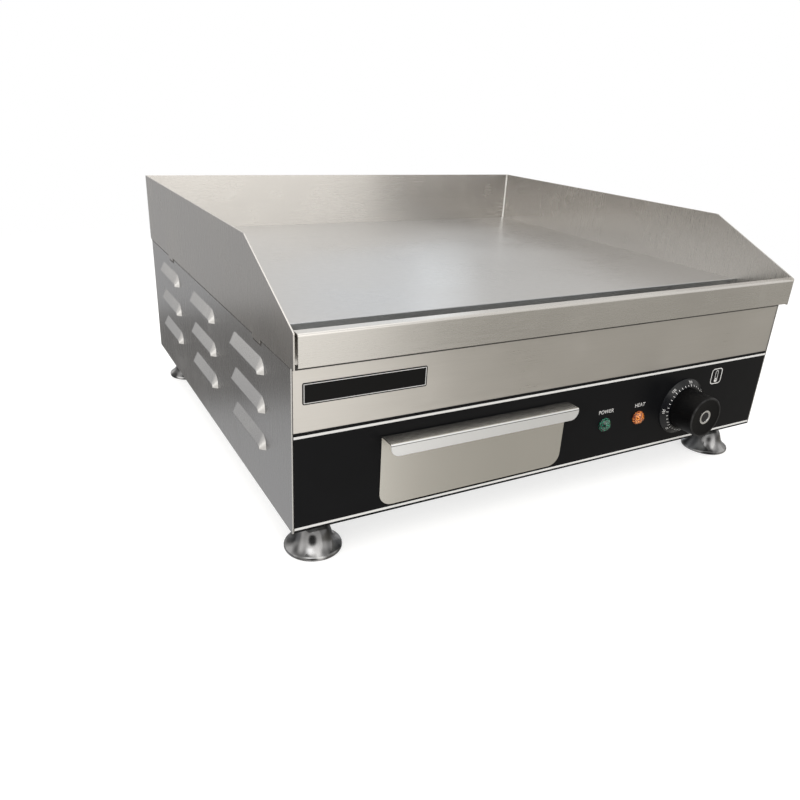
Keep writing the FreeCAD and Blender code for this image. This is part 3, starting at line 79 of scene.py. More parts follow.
# ---------------------------------------------------------------- material helpers
class Paint:
    """A material being built: its node tree, and the Principled shader at the end of it."""

    def __init__(self, name, colour, metallic, roughness):
        self.material = bpy.data.materials.new(name)
        self.material.use_nodes = True
        self.tree = self.material.node_tree
        self.shader = self.tree.nodes["Principled BSDF"]
        self.colour = colour
        self.shader.inputs["Base Color"].default_value = (*colour, 1)
        self.shader.inputs["Metallic"].default_value = metallic
        self.shader.inputs["Roughness"].default_value = roughness

    def node(self, kind, **settings):
        made = self.tree.nodes.new(kind)
        for key, value in settings.items():
            setattr(made, key, value)
        return made

    def link(self, source, target):
        self.tree.links.new(source, target)

    def position(self):
        """Place on the object, in metres."""
        return self.node("ShaderNodeTexCoord").outputs["Object"]

    def noise(self, scale, detail=3.0, stretch=(1, 1, 1)):
        """Noise between 0 and 1 with its own frequency, stretched by axis."""
        mapping = self.node("ShaderNodeMapping")
        mapping.inputs["Scale"].default_value = stretch
        self.link(self.position(), mapping.inputs["Vector"])
        noise = self.node("ShaderNodeTexNoise")
        noise.inputs["Scale"].default_value = scale
        noise.inputs["Detail"].default_value = detail
        self.link(mapping.outputs["Vector"], noise.inputs["Vector"])
        return noise.outputs["Fac"]

    def ranged(self, value, low, high, to_low, to_high):
        """Maps value from one range to another, clamped."""
        node = self.node("ShaderNodeMapRange")
        for key, number in (("From Min", low), ("From Max", high), ("To Min", to_low), ("To Max", to_high)):
            node.inputs[key].default_value = number
        self.link(value, node.inputs["Value"])
        return node.outputs["Result"]

    def maths(self, operation, a, b=0.0):
        """One arithmetic step; a and b are numbers or sockets."""
        node = self.node("ShaderNodeMath", operation=operation)
        for socket, value in zip(node.inputs, (a, b)):
            if isinstance(value, (int, float)):
                socket.default_value = value
            else:
                self.link(value, socket)
        return node.outputs["Value"]

    def axes(self):
        """X, Y and Z of the place on the object."""
        split = self.node("ShaderNodeSeparateXYZ")
        self.link(self.position(), split.inputs["Vector"])
        return split.outputs["X"], split.outputs["Y"], split.outputs["Z"]

    def squared_distance(self, axes, centre=(0.0, 0.0)):
        """Squared distance from a centre, along two of the axes."""
        gaps = [self.maths("SUBTRACT", axis, middle) for axis, middle in zip(axes, centre)]
        return self.maths("ADD", *[self.maths("MULTIPLY", gap, gap) for gap in gaps])

    def mixed(self, share, first, second):
        """Colour between two colours; each is a tuple or a socket."""
        node = self.node("ShaderNodeMix", data_type="RGBA")
        self.link(share, node.inputs["Factor"])
        for socket, value in zip((node.inputs[6], node.inputs[7]), (first, second)):
            if isinstance(value, tuple):
                socket.default_value = (*value, 1)
            else:
                self.link(value, socket)
        return node.outputs[2]

    def shades(self, share, dark, light):
        """The base colour made darker and lighter by share."""
        low = tuple(c * dark for c in self.colour)
        high = tuple(min(c * light, 1) for c in self.colour)
        return self.mixed(share, low, high)

    def use_colour(self, value):
        self.link(value, self.shader.inputs["Base Color"])

    def use_roughness(self, value):
        self.link(value, self.shader.inputs["Roughness"])

    def use_bump(self, height, strength, distance, soften=0.0):
        """Surface relief from height, over edges softened by a small radius."""
        bump = self.node("ShaderNodeBump")
        bump.inputs["Strength"].default_value = strength
        bump.inputs["Distance"].default_value = distance
        self.link(height, bump.inputs["Height"])
        if soften:
            bevel = self.node("ShaderNodeBevel", samples=4)
            bevel.inputs["Radius"].default_value = soften
            self.link(bevel.outputs["Normal"], bump.inputs["Normal"])
        self.link(bump.outputs["Normal"], self.shader.inputs["Normal"])


GRAIN_LEVEL = (0.012, 0.012, 1.0)    # grain lines run level, on walls that face forward or back
GRAIN_UPRIGHT = (1.0, 1.0, 0.012)    # grain lines run up and down
GRAIN_ACROSS = (0.012, 1.0, 1.0)     # grain lines run from side to side
GRAIN_SCALE = 2600
GRAIN_PULL = 0.75                    # how strongly the grain draws reflections out


def brushed(name, colour, roughness, grain=GRAIN_ACROSS):
    """Brushed stainless sheet: fine grain, clouds and handling marks.

    Walls that face forward or back have level grain and the other faces have the given one. Reflections
    are drawn out across the grain: upwards on the first, front to back on the rest.
    """
    paint = Paint(name, colour, 1.0, roughness)
    split = paint.node("ShaderNodeSeparateXYZ")
    paint.link(paint.node("ShaderNodeTexCoord").outputs["Normal"], split.inputs["Vector"])
    facing = paint.maths("ABSOLUTE", split.outputs["Y"])
    drawn = paint.node("ShaderNodeCombineXYZ")
    paint.link(paint.maths("SUBTRACT", 1.0, facing), drawn.inputs["Y"])
    paint.link(facing, drawn.inputs["Z"])
    paint.link(drawn.outputs["Vector"], paint.shader.inputs["Tangent"])
    paint.shader.inputs["Anisotropic"].default_value = GRAIN_PULL
    level = paint.noise(GRAIN_SCALE, 2.0, GRAIN_LEVEL)
    other = paint.noise(GRAIN_SCALE, 2.0, grain)
    change = paint.maths("MULTIPLY", facing, paint.maths("SUBTRACT", level, other))
    lines = paint.maths("ADD", other, change)
    clouds = paint.noise(7, 3.0)
    marks = paint.ranged(paint.noise(28, 5.0), 0.60, 0.72, 0.0, 0.04)
    shade = paint.maths("ADD", clouds, paint.ranged(lines, 0.3, 0.7, -0.14, 0.14))
    paint.use_colour(paint.shades(shade, 0.92, 1.04))
    rough = paint.ranged(lines, 0.3, 0.7, roughness - 0.02, roughness + 0.03)
    rough = paint.maths("ADD", rough, paint.ranged(clouds, 0.35, 0.65, -0.02, 0.03))
    paint.use_roughness(paint.maths("ADD", rough, marks))
    paint.use_bump(lines, 0.035, 0.00004, 0.0004)
    return paint


def moulded(name, colour, roughness, grit=2200, strength=0.15, specular=0.5):
    """Moulded plastic: fine spark texture, uneven sheen and a little dust."""
    paint = Paint(name, colour, 0.0, roughness)
    paint.shader.inputs["Specular IOR Level"].default_value = specular
    texture = paint.noise(grit, 2.0)
    paint.use_colour(paint.shades(paint.noise(45, 4.0), 0.85, 1.25))
    paint.use_roughness(paint.ranged(paint.noise(60, 4.0), 0.3, 0.7, roughness - 0.05, roughness + 0.08))
    paint.use_bump(texture, strength, 0.00005, 0.0003)
    return paint


def plated(name, colour, roughness):
    """Plated or turned metal: clean, with faint clouding."""
    paint = Paint(name, colour, 1.0, roughness)
    paint.use_colour(paint.shades(paint.noise(90, 3.0), 0.88, 1.05))
    paint.use_roughness(paint.ranged(paint.noise(140, 4.0), 0.3, 0.7, roughness * 0.7, roughness * 1.5))
    paint.use_bump(paint.noise(400, 2.0), 0.05, 0.00003, 0.0003)
    return paint


def fibrous(name, colour):
    """Ceramic fibre or unglazed ceramic: matte, mottled and slightly rough."""
    paint = Paint(name, colour, 0.0, 0.9)
    paint.use_colour(paint.shades(paint.noise(160, 5.0), 0.85, 1.08))
    paint.use_bump(paint.noise(900, 4.0), 0.4, 0.0002)
    return paint


# ---------------------------------------------------------------- one function per special finish
def griddle_plate_steel():
    """Ground plate: grain side to side, faint swirls, and a darker cut front edge."""
    paint = brushed("plate_steel", (0.52, 0.52, 0.52), 0.30)
    swirls = paint.noise(260, 6.0, (0.5, 1, 1))
    _, y, _ = paint.axes()
    edge = paint.ranged(y, PLATE_LOW.y + 0.0001, PLATE_LOW.y + 0.0006, 1.0, 0.0)
    ground = paint.shades(swirls, 0.92, 1.06)
    paint.use_colour(paint.mixed(edge, ground, (0.38, 0.40, 0.42)))
    return paint


def drawer_face_steel():
    """Drawer face: its handle's lip painted pale as a highlight, under a thin dark line of painted shade at
    the bend.
    """
    paint = brushed("drawer_steel", (0.70, 0.685, 0.645), 0.25)
    _, y, z = paint.axes()
    low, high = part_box("drawer_front")
    on_lip = paint.ranged(y, low.y + 0.6 * MM, low.y + 1.1 * MM, 1.0, 0.0)
    # painted shade: a thin dark line along the bend at the top of the handle's lip
    from_crease = paint.maths("ABSOLUTE", paint.maths("SUBTRACT", z, high.z - 1.5 * MM))
    crease = paint.ranged(from_crease, 0.15 * MM, 0.5 * MM, 1.0, 0.0)
    plain = paint.shades(paint.noise(9, 3.0), 0.90, 1.06)
    # painted highlight: the lip's face coloured pale
    bright = paint.mixed(on_lip, plain, (0.84, 0.85, 0.86))
    paint.use_colour(paint.mixed(paint.maths("MULTIPLY", crease, on_lip), bright, (0.16, 0.16, 0.16)))
    paint.use_roughness(paint.ranged(on_lip, 0.0, 1.0, 0.25, 0.45))
    return paint


def control_strip():
    """Satin black film with faint orange peel."""
    return moulded("overlay_black", (0.0038, 0.0040, 0.0048), 0.34, 700, 0.06, 0.10)


def bordered(paint, low, high, inset, width, colour):
    """Adds a thin rectangular line, a little inside a plate's edge."""
    x, _, z = paint.axes()
    across = paint.maths("ABSOLUTE", paint.maths("SUBTRACT", x, (low.x + high.x) / 2))
    up = paint.maths("ABSOLUTE", paint.maths("SUBTRACT", z, (low.z + high.z) / 2))
    gap_x = paint.maths("SUBTRACT", (high.x - low.x) / 2 - inset, across)
    gap_z = paint.maths("SUBTRACT", (high.z - low.z) / 2 - inset, up)
    gap = paint.maths("MINIMUM", gap_x, gap_z)
    inside = paint.maths("GREATER_THAN", gap, 0.0)
    outside = paint.maths("LESS_THAN", gap, width)
    paint.use_colour(paint.mixed(paint.maths("MULTIPLY", inside, outside), paint.colour, colour))
    return paint


def name_badge():
    """Blank black badge with a silver border."""
    paint = moulded("nameplate_black", (0.004, 0.004, 0.004), 0.3, 2200, 0.15, 0.12)
    return bordered(paint, NAME_LOW, NAME_HIGH, 0.9 * MM, 0.6 * MM, (0.6, 0.6, 0.6))


def rating_badge():
    """Blank aluminium plate with a dark border."""
    paint = plated("rating_aluminium", (0.7, 0.7, 0.71), 0.32)
    return bordered(paint, RATING_LOW, RATING_HIGH, 2.0 * MM, 0.6 * MM, (0.05, 0.05, 0.06))


def knob_plastic():
    """Black phenolic knob, with a patchy painted highlight round the rim of its face."""
    paint = moulded("knob_black", (0.0026, 0.0026, 0.0028), 0.40, 1600, 0.3, 0.10)
    x, y, z = paint.axes()
    radius = paint.maths("SQRT", paint.squared_distance((x, z), (DIAL_X, DIAL_Z)))
    rim = paint.ranged(radius, KNOB_RADIUS - 2.6 * MM, KNOB_RADIUS - 1.6 * MM, 0.0, 1.0)
    at_face = paint.ranged(y, KNOB_LOW.y + 0.4 * MM, KNOB_LOW.y + 1.0 * MM, 1.0, 0.0)
    # painted highlight: pale patches round the rim of the knob's face
    rim_highlight = paint.maths("MULTIPLY", rim, at_face)
    patchy_highlight = paint.maths("MULTIPLY", rim_highlight, paint.ranged(paint.noise(190, 3.0), 0.35, 0.65, 0.3, 1.0))
    mottled = paint.shades(paint.noise(60, 4.0), 0.8, 1.4)
    paint.use_colour(paint.mixed(patchy_highlight, mottled, (0.035, 0.035, 0.036)))
    return paint


def knob_emblem_metal():
    """Bright raised ring round a dark centre."""
    paint = plated("emblem_metal", (0.78, 0.78, 0.78), 0.22)
    x, _, z = paint.axes()
    squared = paint.squared_distance((x, z), (DIAL_X, DIAL_Z))
    centre = paint.maths("LESS_THAN", squared, EMBLEM_CENTRE ** 2)
    paint.use_colour(paint.mixed(centre, paint.colour, (0.06, 0.06, 0.065)))
    return paint


def lens_plastic(name, dark, bright, glow):
    """Clear coloured lens, lit from behind by glow; its colour is painted lighter and darker cell by cell as
    painted reflections of its facets.
    """
    paint = Paint(name, bright, 0.0, 0.12)
    # painted reflections: each cell runs from the bright colour at its middle to the dark one at its edge
    cells = paint.node("ShaderNodeTexVoronoi")
    cells.inputs["Scale"].default_value = 620
    paint.link(paint.position(), cells.inputs["Vector"])
    share = paint.ranged(cells.outputs["Distance"], 0.10, 0.55, 0.0, 1.0)
    colour = paint.mixed(share, bright, dark)
    paint.use_colour(colour)
    paint.shader.inputs["Coat Weight"].default_value = 0.6
    paint.link(colour, paint.shader.inputs["Emission Color"])
    paint.shader.inputs["Emission Strength"].default_value = glow
    return paint


def polished_chrome():
    """Chrome with a dark base colour standing in for the dim surroundings it mirrors, and upright bands of
    painted reflection, painted brighter towards the rim and darker up the shoulder.
    """
    paint = Paint("foot_chrome", (0.30, 0.30, 0.305), 1.0, 0.18)
    _, _, z = paint.axes()
    low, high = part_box("foot_bell_front_left")
    # painted reflections: upright bands of light and dark, fading towards the shoulder
    reflection_streaks = paint.ranged(paint.noise(75, 1.0, (1, 1, 0.02)), 0.38, 0.62, 0.0, 1.0)
    shoulder = paint.ranged(z, low.z + 1.5 * MM, high.z - 8.0 * MM, 1.0, 0.35)
    paint.use_colour(paint.shades(paint.maths("MULTIPLY", reflection_streaks, shoulder), 0.16, 1.3))
    paint.use_roughness(paint.ranged(paint.noise(180, 4.0), 0.35, 0.65, 0.15, 0.21))
    return paint


def grime():
    """Dark, matte, mottled line of painted shadow in a seam."""
    paint = Paint("seam_shadow", (0.045, 0.042, 0.040), 0.0, 0.85)
    paint.use_colour(paint.shades(paint.noise(420, 4.0), 0.6, 1.8))
    return paint


def printed_ink(name, colour):
    """Silk-screened ink: slightly uneven cover."""
    paint = Paint(name, colour, 0.0, 0.5)
    paint.use_colour(paint.shades(paint.noise(1500, 3.0), 0.88, 1.05))
    return paint


def weld_metal():
    """Dressed weld: bright ripples across the bead."""
    paint = Paint("weld_metal", (0.72, 0.71, 0.69), 1.0, 0.24)
    ripples = paint.noise(900, 2.0, (0.2, 0.2, 1.0))
    paint.use_colour(paint.shades(ripples, 0.85, 1.1))
    paint.use_bump(ripples, 0.4, 0.0002)
    return paint


FINISHES = {
    "guard_steel": brushed("guard_steel", (0.60, 0.58, 0.555), 0.25, GRAIN_UPRIGHT),
    "gutter_steel": brushed("gutter_steel", (0.62, 0.605, 0.58), 0.25),
    "plate_steel": griddle_plate_steel(),
    "side_steel": brushed("side_steel", (0.56, 0.555, 0.55), 0.25, GRAIN_UPRIGHT),
    "front_steel": brushed("front_steel", (0.64, 0.62, 0.59), 0.30),
    "rear_steel": brushed("rear_steel", (0.58, 0.575, 0.56), 0.32),
    "drawer_steel": drawer_face_steel(),
    "zinc_sheet": plated("zinc_sheet", (0.58, 0.60, 0.61), 0.38),
    "overlay_black": control_strip(),
    "nameplate_black": name_badge(),
    "rating_aluminium": rating_badge(),
    "ceramic_fibre": fibrous("ceramic_fibre", (0.88, 0.87, 0.84)),
    "zinc_fastener": plated("zinc_fastener", (0.66, 0.66, 0.66), 0.25),
    "bakelite_brown": moulded("bakelite_brown", (0.10, 0.065, 0.05), 0.4),
    "spindle_steel": plated("spindle_steel", (0.6, 0.6, 0.6), 0.25),
    "bezel_black": moulded("bezel_black", (0.005, 0.0055, 0.007), 0.22, 2200, 0.10, 0.25),
    "knob_black": knob_plastic(),
    "emblem_metal": knob_emblem_metal(),
    "lens_green": lens_plastic("lens_green", (0.0, 0.018, 0.012), (0.015, 0.30, 0.17), 0.03),
    "lens_orange": lens_plastic("lens_orange", (0.16, 0.025, 0.003), (0.95, 0.34, 0.06), 0.22),
    "lamp_plastic": moulded("lamp_plastic", (0.04, 0.04, 0.04), 0.5),
    "element_sheath": plated("element_sheath", (0.26, 0.23, 0.19), 0.5),
    "ceramic_white": fibrous("ceramic_white", (0.84, 0.82, 0.76)),
    "cutout_metal": plated("cutout_metal", (0.68, 0.68, 0.68), 0.3),
    "copper": plated("copper", (0.72, 0.38, 0.22), 0.3),
    "gland_nylon": moulded("gland_nylon", (0.025, 0.025, 0.028), 0.45),
    "wire_insulation": moulded("wire_insulation", (0.72, 0.70, 0.66), 0.5),
    "foot_chrome": polished_chrome(),
}


def paint_nodes():
    """Gives every CAD node the finish of its slot."""
    for subpart in frame["record"]["subparts"]:
        mesh = NODES[subpart["node"]].data
        mesh.materials.clear()
        mesh.materials.append(FINISHES[subpart["material_slot"]].material)


# ---------------------------------------------------------------- mesh pieces
def mesh_piece(name, bm, material, body):
    """Turns a bmesh into an object that rides on a body and takes its finish from a slot."""
    mesh = bpy.data.meshes.new(name)
    bm.to_mesh(mesh)
    bm.free()
    mesh.materials.append(material)
    piece = bpy.data.objects.new(name, mesh)
    bpy.context.scene.collection.objects.link(piece)
    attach(piece, body)
    return piece


def around(radius, count, shift=0.0):
    """Offsets from a circle's centre to points evenly round it."""
    turns = [math.tau * (i + shift) / count for i in range(count)]
    return [(radius * math.cos(turn), radius * math.sin(turn)) for turn in turns]


def outline_strip(bm, points, width, place, closed=False):
    """Flat band of even width along points, each put on the surface by place."""
    count = len(points)
    near, far = [], []
    for i, point in enumerate(points):
        before = points[i - 1] if closed or i > 0 else point
        after = points[(i + 1) % count] if closed or i < count - 1 else point
        ahead = (Vector(after) - Vector(before)).normalized()
        side = Vector((-ahead.y, ahead.x)) * width / 2
        near.append(bm.verts.new(place(*(Vector(point) + side))))
        far.append(bm.verts.new(place(*(Vector(point) - side))))
    for i in range(count if closed else count - 1):
        j = (i + 1) % count
        bm.faces.new((near[i], near[j], far[j], far[i]))


def on_strip(x, z):
    """A point of the control strip's face, just proud of it."""
    return Vector((x, STRIP_LOW.y - PRINT_LIFT, z))


def on_bezel(angle, radius):
    """A point of the dial's cone: angle in degrees from +X seen from the front, radius from the axis."""
    share = (BEZEL_RADIUS - radius) / (BEZEL_RADIUS - BEZEL_TOP_RADIUS)
    y = BEZEL_HIGH.y - BEZEL_RIM - share * CONE_HEIGHT - PRINT_LIFT
    turn = math.radians(angle)
    return Vector((DIAL_X + radius * math.cos(turn), y, DIAL_Z + radius * math.sin(turn)))


def letters(text, size):
    """Flat bmesh of a short text, centred on the origin in X and Y."""
    curve = bpy.data.curves.new(text, "FONT")
    curve.body = text
    curve.size = size
    curve.align_x = "CENTER"
    curve.align_y = "CENTER"
    holder = bpy.data.objects.new(text, curve)
    bpy.context.scene.collection.objects.link(holder)
    bpy.context.view_layer.update()
    mesh = bpy.data.meshes.new_from_object(holder)
    bpy.data.objects.remove(holder)
    bm = bmesh.new()
    bm.from_mesh(mesh)
    return bm


INK = printed_ink("ink_white", (0.72, 0.72, 0.72)).material
SILVER = printed_ink("ink_silver", (0.70, 0.70, 0.70)).material
LINE_WIDTH = 2.2 * MM
LINE_HEIGHTS = (39.4 * MM, 119.6 * MM)
LABEL_SIZE = 5.6 * MM
LABEL_Z = 88.1 * MM
LAMPS = (("POWER", "power_lamp_lens"), ("HEAT", "heat_lamp_lens"))


def strip_lines():
    """The two silver lines along the control strip."""
    bm = bmesh.new()
    for height in LINE_HEIGHTS:
        outline_strip(bm, [(STRIP_LOW.x, height), (STRIP_HIGH.x, height)], LINE_WIDTH, on_strip)
    mesh_piece("strip_lines", bm, SILVER, "chassis")


def lamp_labels():
    """The word above each lamp."""
    for text, node in LAMPS:
        low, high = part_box(node)
        bm = letters(text, LABEL_SIZE)
        for vert in bm.verts:
            vert.co = on_strip((low.x + high.x) / 2 + vert.co.x, LABEL_Z + vert.co.y)
        mesh_piece("label_" + text.lower(), bm, INK, "chassis")


def rounded_loop(x0, x1, z0, z1, radius, steps=6):
    """Points round a rectangle with rounded corners."""
    points = []
    corners = ((x1 - radius, z1 - radius), (x0 + radius, z1 - radius),
               (x0 + radius, z0 + radius), (x1 - radius, z0 + radius))
    for quarter, (cx, cz) in enumerate(corners):
        for step in range(steps + 1):
            turn = math.pi / 2 * (quarter + step / steps)
            points.append((cx + radius * math.cos(turn), cz + radius * math.sin(turn)))
    return points


def thermometer_symbol():
    """Thermometer in a rounded frame, above the dial on the right."""
    bm = bmesh.new()
    centre_x, centre_z = 199.0 * MM, 104.0 * MM
    half_x, half_z = 7.6 * MM, 8.2 * MM
    border = rounded_loop(centre_x - half_x, centre_x + half_x, centre_z - half_z, centre_z + half_z,
                          3.4 * MM)
    outline_strip(bm, border, 1.0 * MM, on_strip, closed=True)
    tube = rounded_loop(centre_x - 1.8 * MM, centre_x + 1.8 * MM, centre_z - 4.0 * MM, centre_z + 6.0 * MM,
                        1.79 * MM)
    outline_strip(bm, tube, 0.6 * MM, on_strip, closed=True)
    bulb_z = centre_z - 4.4 * MM
    bm.faces.new([bm.verts.new(on_strip(centre_x + across, bulb_z + up))
                  for across, up in around(2.4 * MM, 24)])
    mesh_piece("thermometer_symbol", bm, INK, "chassis")


OFF_ANGLE = 282.0                    # the dial's zero, in degrees from +X seen from the front
DIAL_TOP = 300
NUMBER_STEP = 50
NUMBER_RADIUS = 27.3 * MM
NUMBER_SIZE = 3.6 * MM
TICK_STEP = 10
TICK_INNER = 23.7 * MM
TICK_HALF_WIDTH = 0.28 * MM
TICK_LONG, TICK_SHORT = 2.0 * MM, 1.4 * MM


def dial_ticks():
    """A tick every 10 degrees of turn, longer at each number."""
    bm = bmesh.new()
    half = math.degrees(TICK_HALF_WIDTH / TICK_INNER)
    for value in range(0, DIAL_TOP + 1, TICK_STEP):
        angle = OFF_ANGLE - value
        outer = TICK_INNER + (TICK_SHORT if value % NUMBER_STEP else TICK_LONG)
        corners = [on_bezel(angle + side * half, radius)
                   for radius, side in ((TICK_INNER, -1), (TICK_INNER, 1), (outer, 1), (outer, -1))]
        bm.faces.new([bm.verts.new(corner) for corner in corners])
    mesh_piece("dial_ticks", bm, INK, "chassis")


def dial_numbers():
    """Numbers every 50 degrees round the cone, clockwise from OFF."""
    cone_width = BEZEL_RADIUS - BEZEL_TOP_RADIUS
    slope = cone_width / math.hypot(cone_width, CONE_HEIGHT)
    for value in range(0, DIAL_TOP + 1, NUMBER_STEP):
        text = str(value) if value else "OFF"
        bm = letters(text, NUMBER_SIZE)
        for vert in bm.verts:
            angle = OFF_ANGLE - value - math.degrees(vert.co.x / NUMBER_RADIUS)
            vert.co = on_bezel(angle, NUMBER_RADIUS + vert.co.y * slope)
        mesh_piece("dial_" + text.lower(), bm, INK, "chassis")


def knob_pointer():
    """White line along the knob's skirt, pointing at OFF when the knob is turned off."""
    bm = bmesh.new()
    radius = KNOB_RADIUS + PRINT_LIFT
    rows = []
    for y in (KNOB_HIGH.y - 0.5 * MM, KNOB_HIGH.y - 14.0 * MM):
        row = []
        for step in range(5):
            turn = math.radians(OFF_ANGLE + (step - 2))
            row.append(bm.verts.new((DIAL_X + radius * math.cos(turn), y, DIAL_Z + radius * math.sin(turn))))
        rows.append(row)
    for i in range(4):
        bm.faces.new((rows[0][i], rows[0][i + 1], rows[1][i + 1], rows[1][i]))
    mesh_piece("knob_pointer", bm, INK, "knob")


LENS_SIDES = 14
# rings of the lens: share of its radius, and share of its depth
LENS_RINGS = ((1.0, 0.0), (1.0, 0.18), (0.93, 0.22), (0.86, 0.50), (0.66, 0.72), (0.42, 0.90), (0.18, 0.98))


def faceted_lens(node, slot):
    """Lamp lens with rings of staggered flat facets over a low collar, in the CAD lens's space."""
    low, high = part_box(node)
    centre_x, centre_z = (low.x + high.x) / 2, (low.z + high.z) / 2
    radius = (high.x - low.x) / 2
    depth = high.y - low.y
    bm = bmesh.new()
    loops = []
    for number, (share, rise) in enumerate(LENS_RINGS):
        shift = 0.5 * (number % 2)
        loops.append([bm.verts.new((centre_x + across, high.y - depth * rise, centre_z + up))
                      for across, up in around(radius * share, LENS_SIDES, shift)])
    for number, (lower, upper) in enumerate(zip(loops, loops[1:])):
        for i in range(LENS_SIDES):
            j = (i + 1) % LENS_SIDES
            if number % 2:
                bm.faces.new((lower[i], upper[j], upper[i]))
                bm.faces.new((lower[i], lower[j], upper[j]))
            else:
                bm.faces.new((lower[i], lower[j], upper[i]))
                bm.faces.new((lower[j], upper[j], upper[i]))
    bm.faces.new(loops[-1])
    bm.faces.new(list(reversed(loops[0])))
    bmesh.ops.recalc_face_normals(bm, faces=bm.faces)
    piece = mesh_piece(node + "_faceted", bm, FINISHES[slot].material, "chassis")
    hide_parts(node)


def weld_bead(name, side):
    """Dressed weld up an inner rear corner of the splash guard."""
    bm = bmesh.new()
    x = side * (GUARD_HIGH.x - GUARD_SHEET)
    y = GUARD_HIGH.y - GUARD_SHEET
    bottom, top = PLATE_HIGH.z, GUARD_HIGH.z - 0.3 * MM
    rows, columns = 70, 5
    grid = []
    for row in range(rows + 1):
        z = bottom + (top - bottom) * row / rows
        reach = (1.5 + 0.12 * math.sin(row * 1.7) + 0.08 * math.sin(row * 4.3)) * MM
        line = []
        for column in range(columns + 1):
            turn = math.pi / 2 * column / columns
            sag = reach * (1 - 0.30 * math.sin(2 * turn))
            line.append(bm.verts.new((x - side * sag * math.cos(turn), y - sag * math.sin(turn), z)))
        grid.append(line)
    for row in range(rows):
        for column in range(columns):
            bm.faces.new((grid[row][column], grid[row][column + 1],
                          grid[row + 1][column + 1], grid[row + 1][column]))
    bmesh.ops.recalc_face_normals(bm, faces=bm.faces)
    for face in bm.faces:
        face.smooth = True
    mesh_piece(name, bm, WELD, "chassis")


def seam_line(name, side):
    """Strip of painted shadow under the splash guard's lower edge, stepping down round its two tabs."""
    bm = bmesh.new()
    face = side * (PANEL_HALF + PRINT_LIFT)
    slack = 0.4 * MM
    drop = 3.9 * MM
    points = [(STRIP_LOW.y, SEAM_Z)]
    for start in TAB_STARTS:
        near, far = start - slack, start + TAB_LENGTH + slack
        points += [(near, SEAM_Z), (near, SEAM_Z - drop), (far, SEAM_Z - drop), (far, SEAM_Z)]
    points.append((GUARD_HIGH.y - GUARD_SHEET, SEAM_Z))
    for (y0, z0), (y1, z1) in zip(points, points[1:]):
        level = z0 == z1
        down = SEAM_WIDTH if level else 0.0
        across = 0.0 if level else SEAM_WIDTH / 3
        low, high = sorted((z0, z1))
        corners = ((y0 - across, low - down), (y1 + across, low - down),
                   (y1 + across, high), (y0 - across, high))
        bm.faces.new([bm.verts.new((face, y, z)) for y, z in corners])
    mesh_piece(name, bm, SEAM_SHADOW, "chassis")


def flat_seam(name, y, low_z):
    """The same strip of painted shadow on a wall that faces forward or back, from low_z up to the seam."""
    bm = bmesh.new()
    corners = ((STRIP_LOW.x, low_z), (STRIP_HIGH.x, low_z), (STRIP_HIGH.x, SEAM_Z), (STRIP_LOW.x, SEAM_Z))
    bm.faces.new([bm.verts.new((x, y, z)) for x, z in corners])
    mesh_piece(name, bm, SEAM_SHADOW, "chassis")


FOOT_BORE = 5.2 * MM
BELL_SEGMENTS = 72
# profile from the rim up: share of the foot's radius, and share of its height
BELL_PROFILE = ((0.93, 0.0), (0.985, 0.012), (1.0, 0.04), (1.0, 0.085), (0.985, 0.115), (0.95, 0.135),
                (0.90, 0.165), (0.83, 0.215), (0.76, 0.28), (0.70, 0.36), (0.655, 0.45), (0.62, 0.54),
                (0.585, 0.625), (0.54, 0.70), (0.485, 0.76), (0.43, 0.80), (0.385, 0.825), (0.375, 0.85),
                (0.40, 0.88), (0.41, 0.92), (0.40, 0.97), (0.37, 1.0))


def bell_foot(end):
    """Turned chrome foot: flat rim, flared skirt, round shoulder and a narrow neck."""
    node = "foot_bell_" + end
    low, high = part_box(node)
    centre_x, centre_y = (low.x + high.x) / 2, (low.y + high.y) / 2
    radius, tall = (high.x - low.x) / 2, high.z - low.z
    bore = FOOT_BORE / radius
    bm = bmesh.new()
    rings = [[bm.verts.new((centre_x + across, centre_y + along, low.z + tall * rise))
              for across, along in around(radius * share, BELL_SEGMENTS)]
             for share, rise in ((bore, 0.0), *BELL_PROFILE, (bore, 1.0))]
    rings.append(rings[0])
    for lower, upper in zip(rings, rings[1:]):
        for i in range(BELL_SEGMENTS):
            j = (i + 1) % BELL_SEGMENTS
            bm.faces.new((lower[i], lower[j], upper[j], upper[i])).smooth = True
    bmesh.ops.recalc_face_normals(bm, faces=bm.faces)
    piece = mesh_piece(node + "_turned", bm, FINISHES["foot_chrome"].material, "foot_" + end)
    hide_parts(node)


WELD = weld_metal().material
SEAM_SHADOW = grime().material


# ---------------------------------------------------------------- stage, light and camera
FLOOR_RADIUS = 3.0
FLOOR_DROP = 0.2 * MM                # keeps the floor clear of the feet's undersides
FLOOR_SHADE = (0.50, 0.50, 0.50)
FLOOR_GLOW = 0.60
FLOOR_FADE = (0.5, 1.4)              # distances from the middle where fading starts and ends
CAMERA_PLACE = (-0.4399, -0.6951, 0.3568)
CAMERA_TURN = (29.657, 23.325, 3.061)    # degrees: heading from +Y towards +X, tilt down, roll
CAMERA_LENS = 32.05
CAMERA_SHIFT = (-0.0006, 0.0068)


